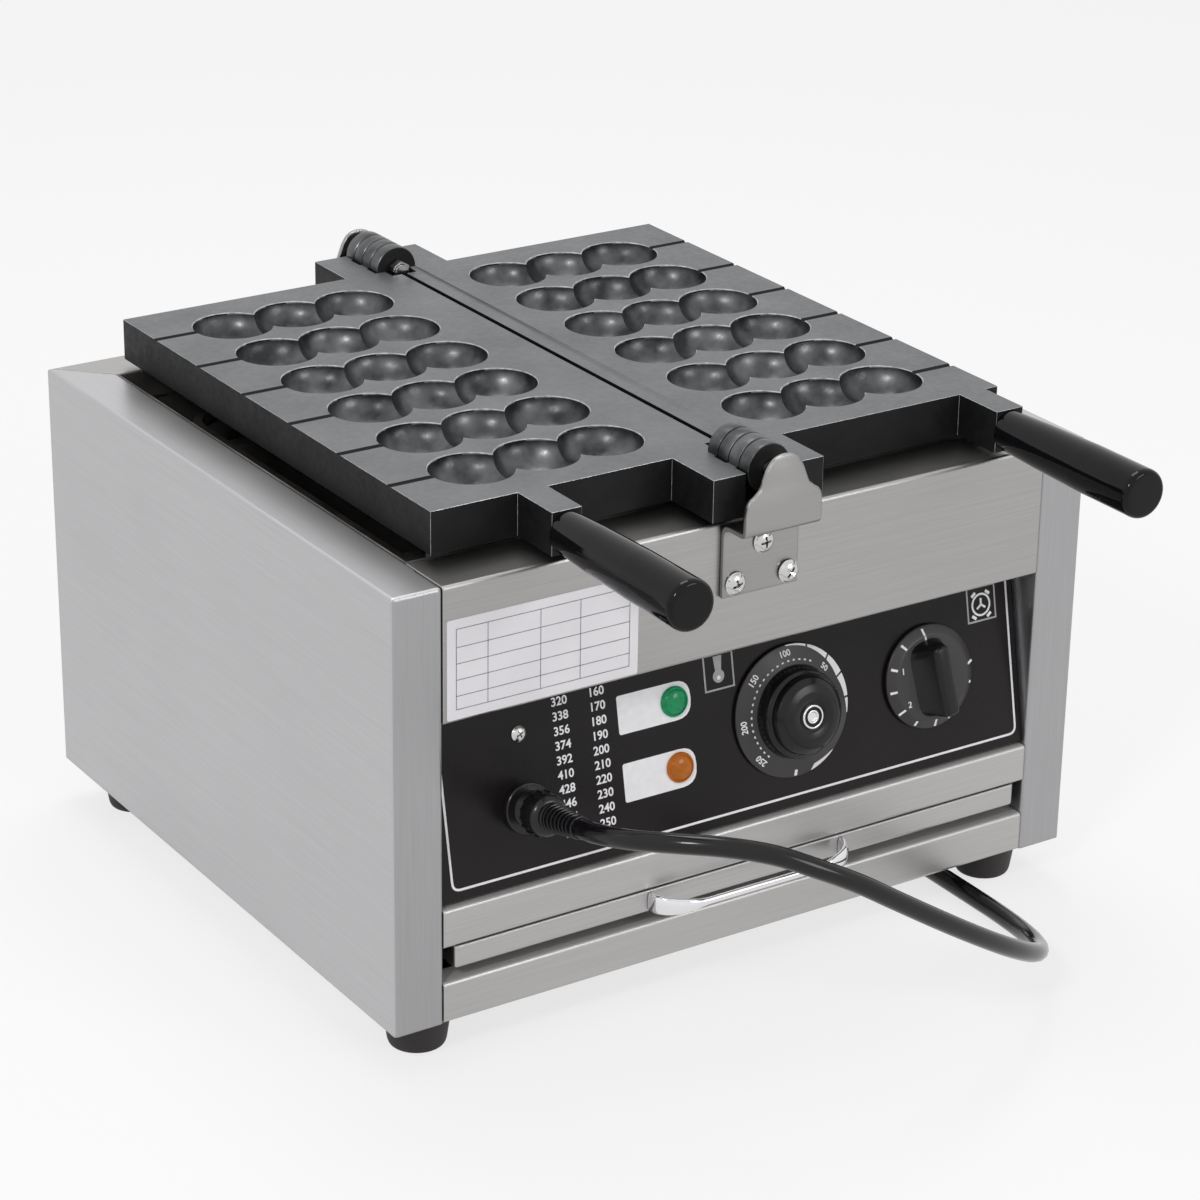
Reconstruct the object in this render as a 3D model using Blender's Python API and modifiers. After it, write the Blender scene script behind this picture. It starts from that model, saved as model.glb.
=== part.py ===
"""Counter-top stick waffle maker with two cast mould plates that turn on one pin line.

Metres, +Z up, -Y is the front. The origin is on the table, at the middle of the footprint.
"""

import math

import bmesh
import bpy
from mathutils import Matrix, Vector

# Gaps and cuts
SEAM = 0.0003
OVERRUN = 0.002

# Case
CASE_WIDTH = 0.410
CASE_DEPTH = 0.365
CASE_HEIGHT = 0.229
FOOT_HEIGHT = 0.023
SHEET = 0.0012
BEND_SHARE = 1.25
COLUMN_WIDTH = 0.027
COLUMN_RETURN = 0.024
FASCIA_SHARE = 0.3057
FASCIA_DECK = 0.034
FASCIA_RETURN = 0.025
UPPER_RAIL_LOW = 0.0405
UPPER_RAIL_HEIGHT = 0.0205
RAIL_FLANGE = 0.014
BOTTOM_RAIL_HEIGHT = 0.0215
BASE_FLANGE = 0.012
VENT_LENGTH = 0.040
VENT_HEIGHT = 0.004
VENT_PITCH = 0.010
VENT_LEVEL = 0.120
VENT_SPREAD = 0.240
VENT_ROWS = 6

# Feet
FOOT_INSET_X = 0.0283
FOOT_INSET_Y = 0.028
FOOT_TOP_RADIUS = 0.0185
FOOT_BOTTOM_RADIUS = 0.0145
FOOT_ROUNDING = 0.003
FOOT_STEM_RADIUS = 0.0040
FOOT_STEM_LENGTH = 0.0060

# Control panel, in its own slanted plane
PANEL_FOOT_SET = 0.003
PANEL_TOP_SET = 0.022
PANEL_THICKNESS = 0.0015
TEMPERATURE_SHARES = (0.1829, 0.510)
TIMER_SHARES = (0.6697, 0.497)
GREEN_LAMP_SHARES = (-0.2026, 0.714)
AMBER_LAMP_SHARES = (-0.2026, 0.367)
GLAND_INSET = 0.0520
GLAND_UP_SHARE = 0.3775
PANEL_SCREW_UP_SHARE = 0.756
SHAFT_RADIUS = 0.0030
SHAFT_CLEARANCE = 0.0006
SHAFT_PROUD = 0.012
CONTROL_BODY_SIZE = 0.040
CONTROL_BODY_DEPTH = 0.026
CONTROL_BUSH_RADIUS = 0.0060
KNOB_CLEAR = 0.0010

# Temperature knob, radii and heights of its steps
DIAL_RADIUS = 0.0330
DIAL_RIM = 0.0020
DIAL_CONE = 0.0055
GRIP_FOOT_RADIUS = 0.0235
GRIP_SHOULDER_RADIUS = 0.0205
GRIP_SHOULDER = 0.0140
CAP_RADIUS = 0.0165
CAP_HEIGHT = 0.0200
CAP_DISH_RADIUS = 0.0090
CAP_DISH = 0.0008

# Timer knob
TIMER_RADIUS = 0.0275
TIMER_RIM = 0.0025
TIMER_CONE = 0.0050
BAR_LENGTH = 0.0430
BAR_WIDTH = 0.0165
BAR_HEIGHT = 0.0190
BAR_ROUNDING = 0.0050
BAR_LEAN = math.radians(12)

# Lamps and the panel screw
LENS_RADIUS = 0.0070
LENS_RIM = 0.0012
LENS_HEIGHT = 0.0036
LAMP_BARREL_RADIUS = 0.0050
LAMP_BARREL_DEPTH = 0.018
PANEL_SCREW_RADIUS = 0.0040
PANEL_SCREW_HEAD = 0.0022
PANEL_SCREW_SHANK = 0.0018
PANEL_SCREW_LENGTH = 0.007

# Cable gland, from the panel outwards
GLAND_FLANGE_RADIUS = 0.0130
GLAND_FLANGE = 0.0040
GLAND_BARREL_RADIUS = 0.0095
GLAND_BARREL = 0.0120
GLAND_NUT_RADIUS = 0.0115
GLAND_NUT_MOUTH = 0.0085
GLAND_NUT_END = 0.0240
GLAND_TAIL_RADIUS = 0.0085
GLAND_TAIL = 0.010
RELIEF_END = 0.0500
RELIEF_FOOT_RADIUS = 0.0078
RELIEF_TIP_RADIUS = 0.0058

# Mould plates
PLATE_FRONT_SET = 0.0279
PLATE_BACK_SET = 0.0165
PLATE_OUTER = 0.1677
PLATE_SPLIT = 0.0030
PLATE_PROUD = 0.0260
PLATE_THICKNESS = 0.0221
PARTING = 0.0005
UNDERCUT_DEPTH = 0.0020
UNDERCUT_BORDER = 0.0150
ROW_PITCH = 0.0488
ROW_MARGIN = 0.0383
ROW_MIDDLE = 0.0855
BALLS = 3
BALL_PITCH = 0.0368
BALL_RADIUS = 0.0213
BALL_DEPTH = 0.0165
GROOVE_RADIUS = 0.0016

# Hinge knuckles, pins and lugs
KNUCKLES = 4
KNUCKLE_RADIUS = 0.0125
KNUCKLE_WIDTH = 0.0082
KNUCKLE_GAP = 0.0006
KNUCKLE_CHAMFER = 0.0010
KNUCKLE_CLEARANCE = 0.0012
HINGE_LUG_OUTER = 0.0323
PIN_RADIUS = 0.0040
PIN_CLEARANCE = 0.0003
PIN_NUT_RADIUS = 0.0058
PIN_NUT_LENGTH = 0.0040
PIN_END = 0.0060
NOTCH_RADIUS = 0.0078
NOTCH_LENGTH = 0.0085

# Hinge brackets
BRACKET_SHEET = 0.0025
BRACKET_WIDTH = 0.0445
BRACKET_DROP = 0.0390
BRACKET_FRONT_REACH = 0.0181
BRACKET_REAR_REACH = 0.0250
TAB_RADIUS = 0.0113
TAB_SHOULDER_RISE = 0.0150
TAB_WAIST = 0.0140
TAB_WAIST_RISE = 0.0220
BOLT_PLACES = (
    ("left", -0.0150, 0.0323),
    ("right", 0.0165, 0.0323),
    ("top", 0.0010, 0.0132),
)
BOLT_HEAD_RADIUS = 0.0060
BOLT_HEAD = 0.0034
BOLT_SHANK_RADIUS = 0.0024
BOLT_LENGTH = 0.0080

# Handles
LEFT_HANDLE_X = 0.1118
RIGHT_HANDLE_X = 0.1515
HANDLE_LUG_WIDTH = 0.0165
HANDLE_LUG_LENGTH = 0.0302
STUD_RADIUS = 0.0040
STUD_IN_LUG = 0.012
STUD_IN_GRIP = 0.030
GRIP_LENGTH = 0.1040
GRIP_NEAR_RADIUS = 0.0105
GRIP_FAR_RADIUS = 0.0127
GRIP_END_ROUNDING = 0.0030

# Heating space
CHAMBER_DROP = 0.0670
SHIELD_SETBACK = 0.0645
SHIELD_LOW = 0.0425
HEATER_RADIUS = 0.0040
HEATER_DROP = 0.0240
HEATER_INNER = 0.0225
HEATER_OUTER = 0.0277
HEATER_TURN_MARGIN = 0.0220
HEATER_TAIL = 0.0100
HEATER_RUNS = 4
HEATER_BAR_SHARE = 0.30
HEATER_BAR_WIDTH = 0.010
HEATER_BAR_HEIGHT = 0.012
REST_SHEET = 0.0020
REST_WIDTH = 0.0140
REST_HEIGHT = 0.0180
REST_MARGIN = 0.0120

# Terminal block
TERMINAL_SIZE = (0.046, 0.016, 0.018)
TERMINAL_LEVEL = 0.1100
TERMINAL_SCREW_RADIUS = 0.0030
TERMINAL_SCREW_DEPTH = 0.006
TERMINAL_POLES = 3

# Crumb tray
TRAY_SIDE_CLEARANCE = 0.0065
TRAY_TOP_CLEARANCE = 0.0005
TRAY_HEIGHT = 0.0120
TRAY_BACK_CLEARANCE = 0.0300
BOW_WIDTH = 0.1170
BOW_FOOT_HEIGHT = 0.0110
BOW_BAR_HEIGHT = 0.0045
BOW_THICKNESS = 0.0035
BOW_REACH = 0.0145
BOW_CURVE = 0.0200
RUNNER_WIDTH = 0.0160
RUNNER_FOOT = 0.0120
RUNNER_INSET = 0.0030

# Mains lead: what is seen leaves the gland, then it runs under the case to a coil behind it
CORD_RADIUS = 0.0050
CORD_STEP = 0.0240
CORD_LIE = 0.0055
CORD_LANE = 0.1450
CORD_ROUTE = (
    (-0.1208, -0.2540, 0.1385),
    (-0.1086, -0.2738, 0.1419),
    (-0.0912, -0.2897, 0.1422),
    (-0.0712, -0.3014, 0.1379),
    (-0.0509, -0.3092, 0.1286),
    (-0.0305, -0.3132, 0.1174),
    (-0.0108, -0.3148, 0.1045),
    (0.0089, -0.3150, 0.0914),
    (0.0286, -0.3140, 0.0784),
    (0.0483, -0.3113, 0.0656),
    (0.0677, -0.3062, 0.0531),
    (0.0865, -0.2981, 0.0412),
    (0.1040, -0.2867, 0.0302),
    (0.1194, -0.2716, 0.0206),
    (0.1319, -0.2531, 0.0130),
    (0.1406, -0.2317, 0.0078),
    (0.1445, -0.2086, 0.0057),
)
CORD_LANE_START = -0.1850
COIL_RADIUS = 0.0660
COIL_LAYER_TURNS = 1.625
COIL_PITCH = 0.0106
COIL_LIE = 0.0070
COIL_BEHIND = 0.0110
COIL_LOOP_POINTS = 24
COIL_TAIL = 0.0600
TIE_WIDTH = 0.0060
TIE_SHEET = 0.0010
TIE_CLEARANCE = 0.0007
TIE_TURN = math.radians(215)
PLUG_FLOOR_GAP = 0.0006
PLUG_BODY = 0.0380
PLUG_NECK = 0.0260
PLUG_NECK_RADIUS = 0.0075
PLUG_WAIST_RADIUS = 0.0115
PLUG_PIN_RADIUS = 0.0024
PLUG_PIN_LENGTH = 0.0190
PLUG_PIN_SPACING = 0.0190

# What follows from the sizes above
HALF_WIDTH = CASE_WIDTH / 2
HALF_DEPTH = CASE_DEPTH / 2
COLUMN_INNER = HALF_WIDTH - COLUMN_WIDTH
CLEAR_HALF = COLUMN_INNER - SEAM
PLATE_FRONT = -HALF_DEPTH + PLATE_FRONT_SET
PLATE_BACK = HALF_DEPTH - PLATE_BACK_SET
PLATE_TOP = CASE_HEIGHT + PLATE_PROUD
ROWS = 1 + round((PLATE_BACK - PLATE_FRONT - 2 * ROW_MARGIN) / ROW_PITCH)
FASCIA_LOW = CASE_HEIGHT * (1 - FASCIA_SHARE)
UPPER_RAIL_TOP = UPPER_RAIL_LOW + UPPER_RAIL_HEIGHT
PIN_LEVEL = PLATE_TOP + PARTING / 2
PLATE_MIDDLE = (PLATE_FRONT + PLATE_BACK) / 2
KNUCKLE_STACK = KNUCKLES * (KNUCKLE_WIDTH + KNUCKLE_GAP)
LUG_INNER = KNUCKLE_RADIUS + KNUCKLE_CLEARANCE
LUG_FRONT = PLATE_FRONT - HANDLE_LUG_LENGTH
GRIP_TIP = LUG_FRONT - SEAM - GRIP_LENGTH
BRACKET_FACE = SEAM + BRACKET_SHEET
REAR_FACE = HALF_DEPTH + BRACKET_FACE + BRACKET_REAR_REACH
CHAMBER_LOW = CASE_HEIGHT - CHAMBER_DROP
HEATER_LEVEL = CASE_HEIGHT - HEATER_DROP
HEATER_PITCH = (CLEAR_HALF - HEATER_OUTER - HEATER_INNER) / (HEATER_RUNS - 1)
CHAMBER_FRONT = -HALF_DEPTH + FASCIA_DECK + SEAM
CHAMBER_BACK = HALF_DEPTH - COLUMN_WIDTH - SEAM
PIN_BORE_RADIUS = PIN_RADIUS + PIN_CLEARANCE
TRAY_LEVEL = UPPER_RAIL_LOW - TRAY_TOP_CLEARANCE - TRAY_HEIGHT
TRAY_HALF = COLUMN_INNER - TRAY_SIDE_CLEARANCE
PANEL_BOTTOM = UPPER_RAIL_TOP + SEAM + PANEL_THICKNESS
PANEL_RISE = FASCIA_LOW - SEAM - PANEL_BOTTOM
PANEL_TILT = math.atan2(PANEL_TOP_SET - PANEL_FOOT_SET, PANEL_RISE)
PANEL_LENGTH = PANEL_RISE / math.cos(PANEL_TILT)
TEMPERATURE_AT = (CLEAR_HALF * TEMPERATURE_SHARES[0], PANEL_LENGTH * TEMPERATURE_SHARES[1])
TIMER_AT = (CLEAR_HALF * TIMER_SHARES[0], PANEL_LENGTH * TIMER_SHARES[1])
GREEN_LAMP_AT = (CLEAR_HALF * GREEN_LAMP_SHARES[0], PANEL_LENGTH * GREEN_LAMP_SHARES[1])
AMBER_LAMP_AT = (CLEAR_HALF * AMBER_LAMP_SHARES[0], PANEL_LENGTH * AMBER_LAMP_SHARES[1])
GLAND_AT = (-CLEAR_HALF + GLAND_INSET, PANEL_LENGTH * GLAND_UP_SHARE)
PANEL_SCREW_AT = (GLAND_AT[0], PANEL_LENGTH * PANEL_SCREW_UP_SHARE)
CENTRE_SHIFT = -(GRIP_TIP + REAR_FACE) / 2

STEEL = ((0.46, 0.46, 0.45), 0.30, 1.0)
DARK_STEEL = ((0.20, 0.20, 0.20), 0.45, 1.0)
CHROME = ((0.75, 0.75, 0.76), 0.10, 1.0)
CAST = ((0.16, 0.16, 0.17), 0.38, 0.6)
PANEL_BLACK = ((0.012, 0.009, 0.012), 0.25, 0.0)
BLACK_PLASTIC = ((0.015, 0.015, 0.016), 0.30, 0.0)
RUBBER = ((0.045, 0.040, 0.038), 0.75, 0.0)
CORD_BLACK = ((0.012, 0.012, 0.012), 0.45, 0.0)
GREEN_LENS = ((0.02, 0.45, 0.10), 0.15, 0.0)
AMBER_LENS = ((0.80, 0.22, 0.02), 0.15, 0.0)
PALE_PLASTIC = ((0.60, 0.58, 0.52), 0.50, 0.0)


def clear_scene():
    for obj in list(bpy.data.objects):
        bpy.data.objects.remove(obj, do_unlink=True)


def new_collection(name, hidden):
    collection = bpy.data.collections.new(name)
    collection.hide_render = hidden
    bpy.context.scene.collection.children.link(collection)
    return collection


clear_scene()
PARTS = new_collection("stick_waffle_maker", False)
CUTTERS = new_collection("cutters", True)


def material(name, finish):
    colour, roughness, metallic = finish
    made = bpy.data.materials.new(name)
    made.use_nodes = True
    shader = made.node_tree.nodes["Principled BSDF"]
    shader.inputs["Base Color"].default_value = (*colour, 1.0)
    shader.inputs["Roughness"].default_value = roughness
    shader.inputs["Metallic"].default_value = metallic
    return made


def link(name, data, finish=None):
    """A new object for this mesh or curve: a part where it has a finish, otherwise a cutter."""
    obj = bpy.data.objects.new(name, data)
    if finish is None:
        obj.hide_render = True
        obj.display_type = "WIRE"
        CUTTERS.objects.link(obj)
    else:
        data.materials.append(material(name, finish))
        PARTS.objects.link(obj)
    return obj


def from_bmesh(name, bm, finish=None):
    mesh = bpy.data.meshes.new(name)
    bm.to_mesh(mesh)
    bm.free()
    return link(name, mesh, finish)


def empty(name, place, turn=None):
    obj = bpy.data.objects.new(name, None)
    PARTS.objects.link(obj)
    obj.matrix_world = Matrix.Translation(place) @ (turn or Matrix.Identity(4))
    return obj


def attach(obj, parent):
    """Parents an object that was modelled in the parent's own axes."""
    obj.parent = parent
    return obj


def keep_place(obj, parent):
    """Parents an object that was modelled in the scene's axes."""
    obj.parent = parent
    obj.matrix_parent_inverse = parent.matrix_world.inverted()
    return obj


def add_box(bm, low, high, radius=0.0, axis=2, segments=3):
    """A box between two corners, with its four edges along one axis rounded."""
    low, high = Vector(low), Vector(high)
    size = high - low
    made = bmesh.ops.create_cube(
        bm, size=1, matrix=Matrix.Translation((low + high) / 2) @ Matrix.Diagonal((*size, 1))
    )
    if not radius:
        return
    edges = {edge for vert in made["verts"] for edge in vert.link_edges}
    along = [edge for edge in edges if abs((edge.verts[0].co - edge.verts[1].co)[axis]) > size[axis] / 2]
    bmesh.ops.bevel(bm, geom=along, offset=radius, segments=segments, profile=0.5, affect="EDGES")


def box(name, low, high, finish=None, radius=0.0, axis=2, segments=3):
    bm = bmesh.new()
    add_box(bm, low, high, radius, axis, segments)
    return from_bmesh(name, bm, finish)


def add_cylinder(bm, start, end, radius, sides, end_radius=None):
    start, end = Vector(start), Vector(end)
    turn = (end - start).to_track_quat("Z", "Y").to_matrix().to_4x4()
    bmesh.ops.create_cone(
        bm,
        cap_ends=True,
        segments=sides,
        radius1=radius,
        radius2=radius if end_radius is None else end_radius,
        depth=(end - start).length,
        matrix=Matrix.Translation((start + end) / 2) @ turn,
    )


def cylinder(name, start, end, radius, sides, finish=None):
    bm = bmesh.new()
    add_cylinder(bm, start, end, radius, sides)
    return from_bmesh(name, bm, finish)


def add_prism(bm, outline, start, end):
    """A flat outline of (x, y), lifted from one height to the other."""
    face = bm.faces.new([bm.verts.new((x, y, start)) for x, y in outline])
    lifted = bmesh.ops.extrude_face_region(bm, geom=[face])
    bmesh.ops.translate(
        bm,
        verts=[item for item in lifted["geom"] if isinstance(item, bmesh.types.BMVert)],
        vec=(0, 0, end - start),
    )
    bmesh.ops.recalc_face_normals(bm, faces=bm.faces)


def turned(name, profile, steps, finish=None, start_turn=0.0):
    """A closed profile of (radius, height), from top to bottom, turned about the object's Z."""
    mesh = bpy.data.meshes.new(name)
    points = [(r * math.cos(start_turn), r * math.sin(start_turn), h) for r, h in profile]
    mesh.from_pydata(points, [(i, i + 1) for i in range(len(points) - 1)], [])
    obj = link(name, mesh, finish)
    screw = obj.modifiers.new("turned", "SCREW")
    screw.steps = steps
    screw.render_steps = steps
    screw.use_merge_vertices = True
    screw.merge_threshold = SEAM / 10
    return obj


def ring(name, profile, steps, finish=None):
    """A closed profile that stays off the axis, turned into a ring."""
    obj = turned(name, profile, steps, finish)
    mesh = obj.data
    first = mesh.vertices[0].co.copy()
    mesh.clear_geometry()
    points = [(first.x, 0, first.z)] + [(r, 0, h) for r, h in profile[1:]]
    count = len(points)
    mesh.from_pydata(points, [(i, (i + 1) % count) for i in range(count)], [])
    return obj


def folded(name, outline, start, end, finish, thickness=SHEET, offset=-1, mitre=0.0):
    """A sheet that runs along X and is bent at each point of its (y, z) outline."""
    bm = bmesh.new()
    left = [bm.verts.new((start, y, z)) for y, z in outline]
    right = [bm.verts.new((end, y, z)) for y, z in outline]
    for i in range(len(outline) - 1):
        bm.faces.new((left[i], left[i + 1], right[i + 1], right[i]))
    left[-1].co.x += mitre
    right[-1].co.x -= mitre
    obj = from_bmesh(name, bm, finish)
    round_and_thicken(obj, thickness, offset)
    return obj


def round_and_thicken(obj, thickness=SHEET, offset=-1):
    """Gives an open sheet its bends, a little rounder than it is thick, and its thickness."""
    bevel = obj.modifiers.new("bends", "BEVEL")
    bevel.width = thickness * BEND_SHARE
    bevel.segments = 2
    bevel.limit_method = "ANGLE"
    solidify = obj.modifiers.new("sheet", "SOLIDIFY")
    solidify.thickness = thickness
    solidify.offset = offset
    solidify.use_even_offset = True


def combine(obj, other, operation="DIFFERENCE"):
    boolean = obj.modifiers.new(operation.lower() + "_" + other.name, "BOOLEAN")
    boolean.operation = operation
    boolean.solver = "EXACT"
    boolean.object = other
    return obj


def tube(name, points, radius, resolution, finish, cyclic=False):
    curve = bpy.data.curves.new(name, "CURVE")
    curve.dimensions = "3D"
    curve.bevel_depth = radius
    curve.bevel_resolution = resolution
    curve.use_fill_caps = True
    spline = curve.splines.new("POLY")
    spline.points.add(len(points) - 1)
    for point, place in zip(spline.points, points):
        point.co = (*place, 1.0)
    spline.use_cyclic_u = cyclic
    return link(name, curve, finish)


def smooth_shade(angle=math.radians(35)):
    for obj in PARTS.objects:
        if obj.type == "MESH":
            obj.data.shade_smooth()
            obj.data.set_sharp_from_angle(angle=angle)


def level(height):
    """A height above the case's bottom edge, as a height above the table."""
    return FOOT_HEIGHT + height


# Case


def side_panel(name, side):
    """Outer wall, front column with its return, and top rim, bent from one sheet."""
    bm = bmesh.new()
    add_box(bm, (COLUMN_INNER, -HALF_DEPTH, level(0)), (HALF_WIDTH, HALF_DEPTH, level(CASE_HEIGHT)))
    cut = -HALF_DEPTH + COLUMN_RETURN
    bmesh.ops.bisect_plane(
        bm, geom=bm.verts[:] + bm.edges[:] + bm.faces[:], plane_co=(0, cut, 0), plane_no=(0, 1, 0)
    )
    open_faces = [
        face
        for face in bm.faces
        if face.normal.y > 0.5
        or face.normal.z < -0.5
        or (face.normal.x < -0.5 and face.calc_center_median().y > cut)
    ]
    bmesh.ops.delete(bm, geom=open_faces, context="FACES")
    for vert in bm.verts:
        if vert.co.x < COLUMN_INNER + SEAM and vert.co.y > HALF_DEPTH - SEAM:
            vert.co.y -= COLUMN_WIDTH
    if side < 0:
        bmesh.ops.scale(bm, vec=(-1, 1, 1), verts=bm.verts)
        bmesh.ops.reverse_faces(bm, faces=bm.faces)
    obj = from_bmesh(name, bm, STEEL)
    round_and_thicken(obj)


def back_panel():
    reach = HALF_WIDTH - SHEET - SEAM
    outline = (
        (HALF_DEPTH, level(0)),
        (HALF_DEPTH, level(CASE_HEIGHT)),
        (HALF_DEPTH - COLUMN_WIDTH, level(CASE_HEIGHT)),
    )
    panel = folded("back_panel", outline, -reach, reach, STEEL, mitre=COLUMN_WIDTH)
    bm = bmesh.new()
    for side in (-1, 1):
        for row in range(VENT_ROWS):
            x = side * VENT_SPREAD / 2
            z = level(VENT_LEVEL) + row * VENT_PITCH
            low = (x - VENT_LENGTH / 2, HALF_DEPTH - SHEET - OVERRUN, z - VENT_HEIGHT / 2)
            high = (x + VENT_LENGTH / 2, HALF_DEPTH + OVERRUN, z + VENT_HEIGHT / 2)
            add_box(bm, low, high, VENT_HEIGHT / 3, 1, 1)
    combine(panel, from_bmesh("vent_cutter", bm))
    bolt_holes(panel, 1)
    return panel


def base_plate():
    """Bent up at both sides, and folded along Y: the sheet is modelled along X and turned."""
    reach = HALF_WIDTH - SHEET - SEAM
    outline = (
        (-reach, level(BASE_FLANGE)),
        (-reach, level(0)),
        (reach, level(0)),
        (reach, level(BASE_FLANGE)),
    )
    start = -HALF_DEPTH + COLUMN_RETURN + SEAM
    end = HALF_DEPTH - SHEET - SEAM
    plate = folded("base_plate", outline, start, end, STEEL)
    plate.rotation_euler.z = math.radians(90)
    holes = bmesh.new()
    for x, y in foot_places():
        bottom = (y, -x, level(0) - OVERRUN)
        top = (y, -x, level(SHEET) + OVERRUN)
        add_cylinder(holes, bottom, top, FOOT_STEM_RADIUS + SEAM, 16)
    cutter = from_bmesh("foot_hole_cutter", holes)
    cutter.rotation_euler.z = plate.rotation_euler.z
    combine(plate, cutter)


def fascia_and_rails():
    outline = (
        (-HALF_DEPTH + FASCIA_DECK, level(CASE_HEIGHT)),
        (-HALF_DEPTH, level(CASE_HEIGHT)),
        (-HALF_DEPTH, level(FASCIA_LOW)),
        (-HALF_DEPTH + FASCIA_RETURN, level(FASCIA_LOW)),
    )
    bolt_holes(folded("front_fascia", outline, -CLEAR_HALF, CLEAR_HALF, STEEL), -1)
    for name, low, high in (
        ("upper_rail", UPPER_RAIL_LOW, UPPER_RAIL_TOP),
        ("bottom_rail", 0, BOTTOM_RAIL_HEIGHT),
    ):
        outline = (
            (-HALF_DEPTH + RAIL_FLANGE, level(high)),
            (-HALF_DEPTH, level(high)),
            (-HALF_DEPTH, level(low)),
            (-HALF_DEPTH + RAIL_FLANGE, level(low)),
        )
        folded(name, outline, -CLEAR_HALF, CLEAR_HALF, STEEL)


def foot_places():
    x = HALF_WIDTH - FOOT_INSET_X
    y = HALF_DEPTH - FOOT_INSET_Y
    return ((-x, -y), (x, -y), (-x, y), (x, y))


def feet():
    names = ("foot_front_left", "foot_front_right", "foot_rear_left", "foot_rear_right")
    top = level(0) - SEAM
    profile = (
        (0, top + FOOT_STEM_LENGTH),
        (FOOT_STEM_RADIUS, top + FOOT_STEM_LENGTH),
        (FOOT_STEM_RADIUS, top),
        (FOOT_TOP_RADIUS, top),
        (FOOT_TOP_RADIUS, top - FOOT_ROUNDING),
        (FOOT_BOTTOM_RADIUS + FOOT_ROUNDING / 2, FOOT_ROUNDING),
        (FOOT_BOTTOM_RADIUS, 0),
        (0, 0),
    )
    for name, (x, y) in zip(names, foot_places()):
        turned(name, profile, 16, RUBBER).location = (x, y, 0)


# Control panel and what it carries: modelled about the panel's own frame, where X runs to the right,
# Z up the slant and -Y out of the panel


def outward(at, height):
    return (at[0], -height, at[1])


def facing_out(at, height=0.0):
    """Turns a profile's Z out of the panel, at this place and height."""
    return Matrix.Translation(outward(at, height)) @ Matrix.Rotation(math.radians(90), 4, "X")


def control_panel(frame):
    panel = box(
        "control_panel",
        (-CLEAR_HALF, 0, 0),
        (CLEAR_HALF, PANEL_THICKNESS, PANEL_LENGTH),
        PANEL_BLACK,
    )
    holes = bmesh.new()
    for at, radius in (
        (TEMPERATURE_AT, CONTROL_BUSH_RADIUS + SEAM),
        (TIMER_AT, CONTROL_BUSH_RADIUS + SEAM),
        (GREEN_LAMP_AT, LAMP_BARREL_RADIUS + SEAM),
        (AMBER_LAMP_AT, LAMP_BARREL_RADIUS + SEAM),
        (PANEL_SCREW_AT, PANEL_SCREW_SHANK + SEAM),
        (GLAND_AT, GLAND_TAIL_RADIUS + SEAM),
    ):
        start, end = outward(at, OVERRUN), outward(at, -PANEL_THICKNESS - OVERRUN)
        add_cylinder(holes, start, end, radius, 16)
    cutter = from_bmesh("panel_hole_cutter", holes)
    combine(panel, cutter)
    attach(panel, frame)
    attach(cutter, frame)


def control_switch(name, at, frame):
    """The body behind the panel, with the bush that its shaft turns in."""
    back = PANEL_THICKNESS + SEAM
    half = CONTROL_BODY_SIZE / 2
    low = (at[0] - half, back, at[1] - half)
    high = (at[0] + half, back + CONTROL_BODY_DEPTH, at[1] + half)
    body = box(name, low, high, PALE_PLASTIC, half / 5, 1, 2)
    bush = cylinder(
        name + "_bush",
        outward(at, 0),
        outward(at, -back - OVERRUN),
        CONTROL_BUSH_RADIUS,
        16,
    )
    bore = cylinder(
        name + "_bore",
        outward(at, OVERRUN),
        outward(at, -back - CONTROL_BODY_DEPTH / 2),
        SHAFT_RADIUS + SHAFT_CLEARANCE,
        16,
    )
    combine(body, bush, "UNION")
    combine(body, bore)
    for piece in (body, bush, bore):
        attach(piece, frame)


def shaft(name, at, axle):
    """From the body behind the panel to the bore of its knob, with the axle's own centre at the panel."""
    cylinder_start = (0, PANEL_THICKNESS + SEAM + CONTROL_BODY_DEPTH / 2 - OVERRUN, 0)
    made = cylinder(name, cylinder_start, (0, -SHAFT_PROUD, 0), SHAFT_RADIUS, 14, STEEL)
    attach(made, axle)


def shaft_bore(name, axle):
    start = (0, OVERRUN, 0)
    bore = cylinder(name, start, (0, -SHAFT_PROUD - SEAM, 0), SHAFT_RADIUS + SEAM, 14)
    return attach(bore, axle)


def temperature_knob(axle):
    low = KNOB_CLEAR
    profile = (
        (0, CAP_HEIGHT - CAP_DISH),
        (CAP_DISH_RADIUS, CAP_HEIGHT - CAP_DISH),
        (CAP_DISH_RADIUS + CAP_DISH, CAP_HEIGHT),
        (CAP_RADIUS - CAP_DISH, CAP_HEIGHT),
        (CAP_RADIUS, CAP_HEIGHT - CAP_DISH),
        (CAP_RADIUS + CAP_DISH, GRIP_SHOULDER + CAP_DISH),
        (GRIP_SHOULDER_RADIUS, GRIP_SHOULDER),
        (GRIP_FOOT_RADIUS, DIAL_CONE),
        (DIAL_RADIUS - CAP_DISH, DIAL_RIM + CAP_DISH),
        (DIAL_RADIUS, DIAL_RIM),
        (DIAL_RADIUS, low),
        (0, low),
    )
    knob = turned("temperature_knob", profile, 28, BLACK_PLASTIC)
    knob.matrix_world = Matrix.Rotation(math.radians(90), 4, "X")
    combine(knob, shaft_bore("temperature_knob_bore", axle))
    attach(knob, axle)


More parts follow.
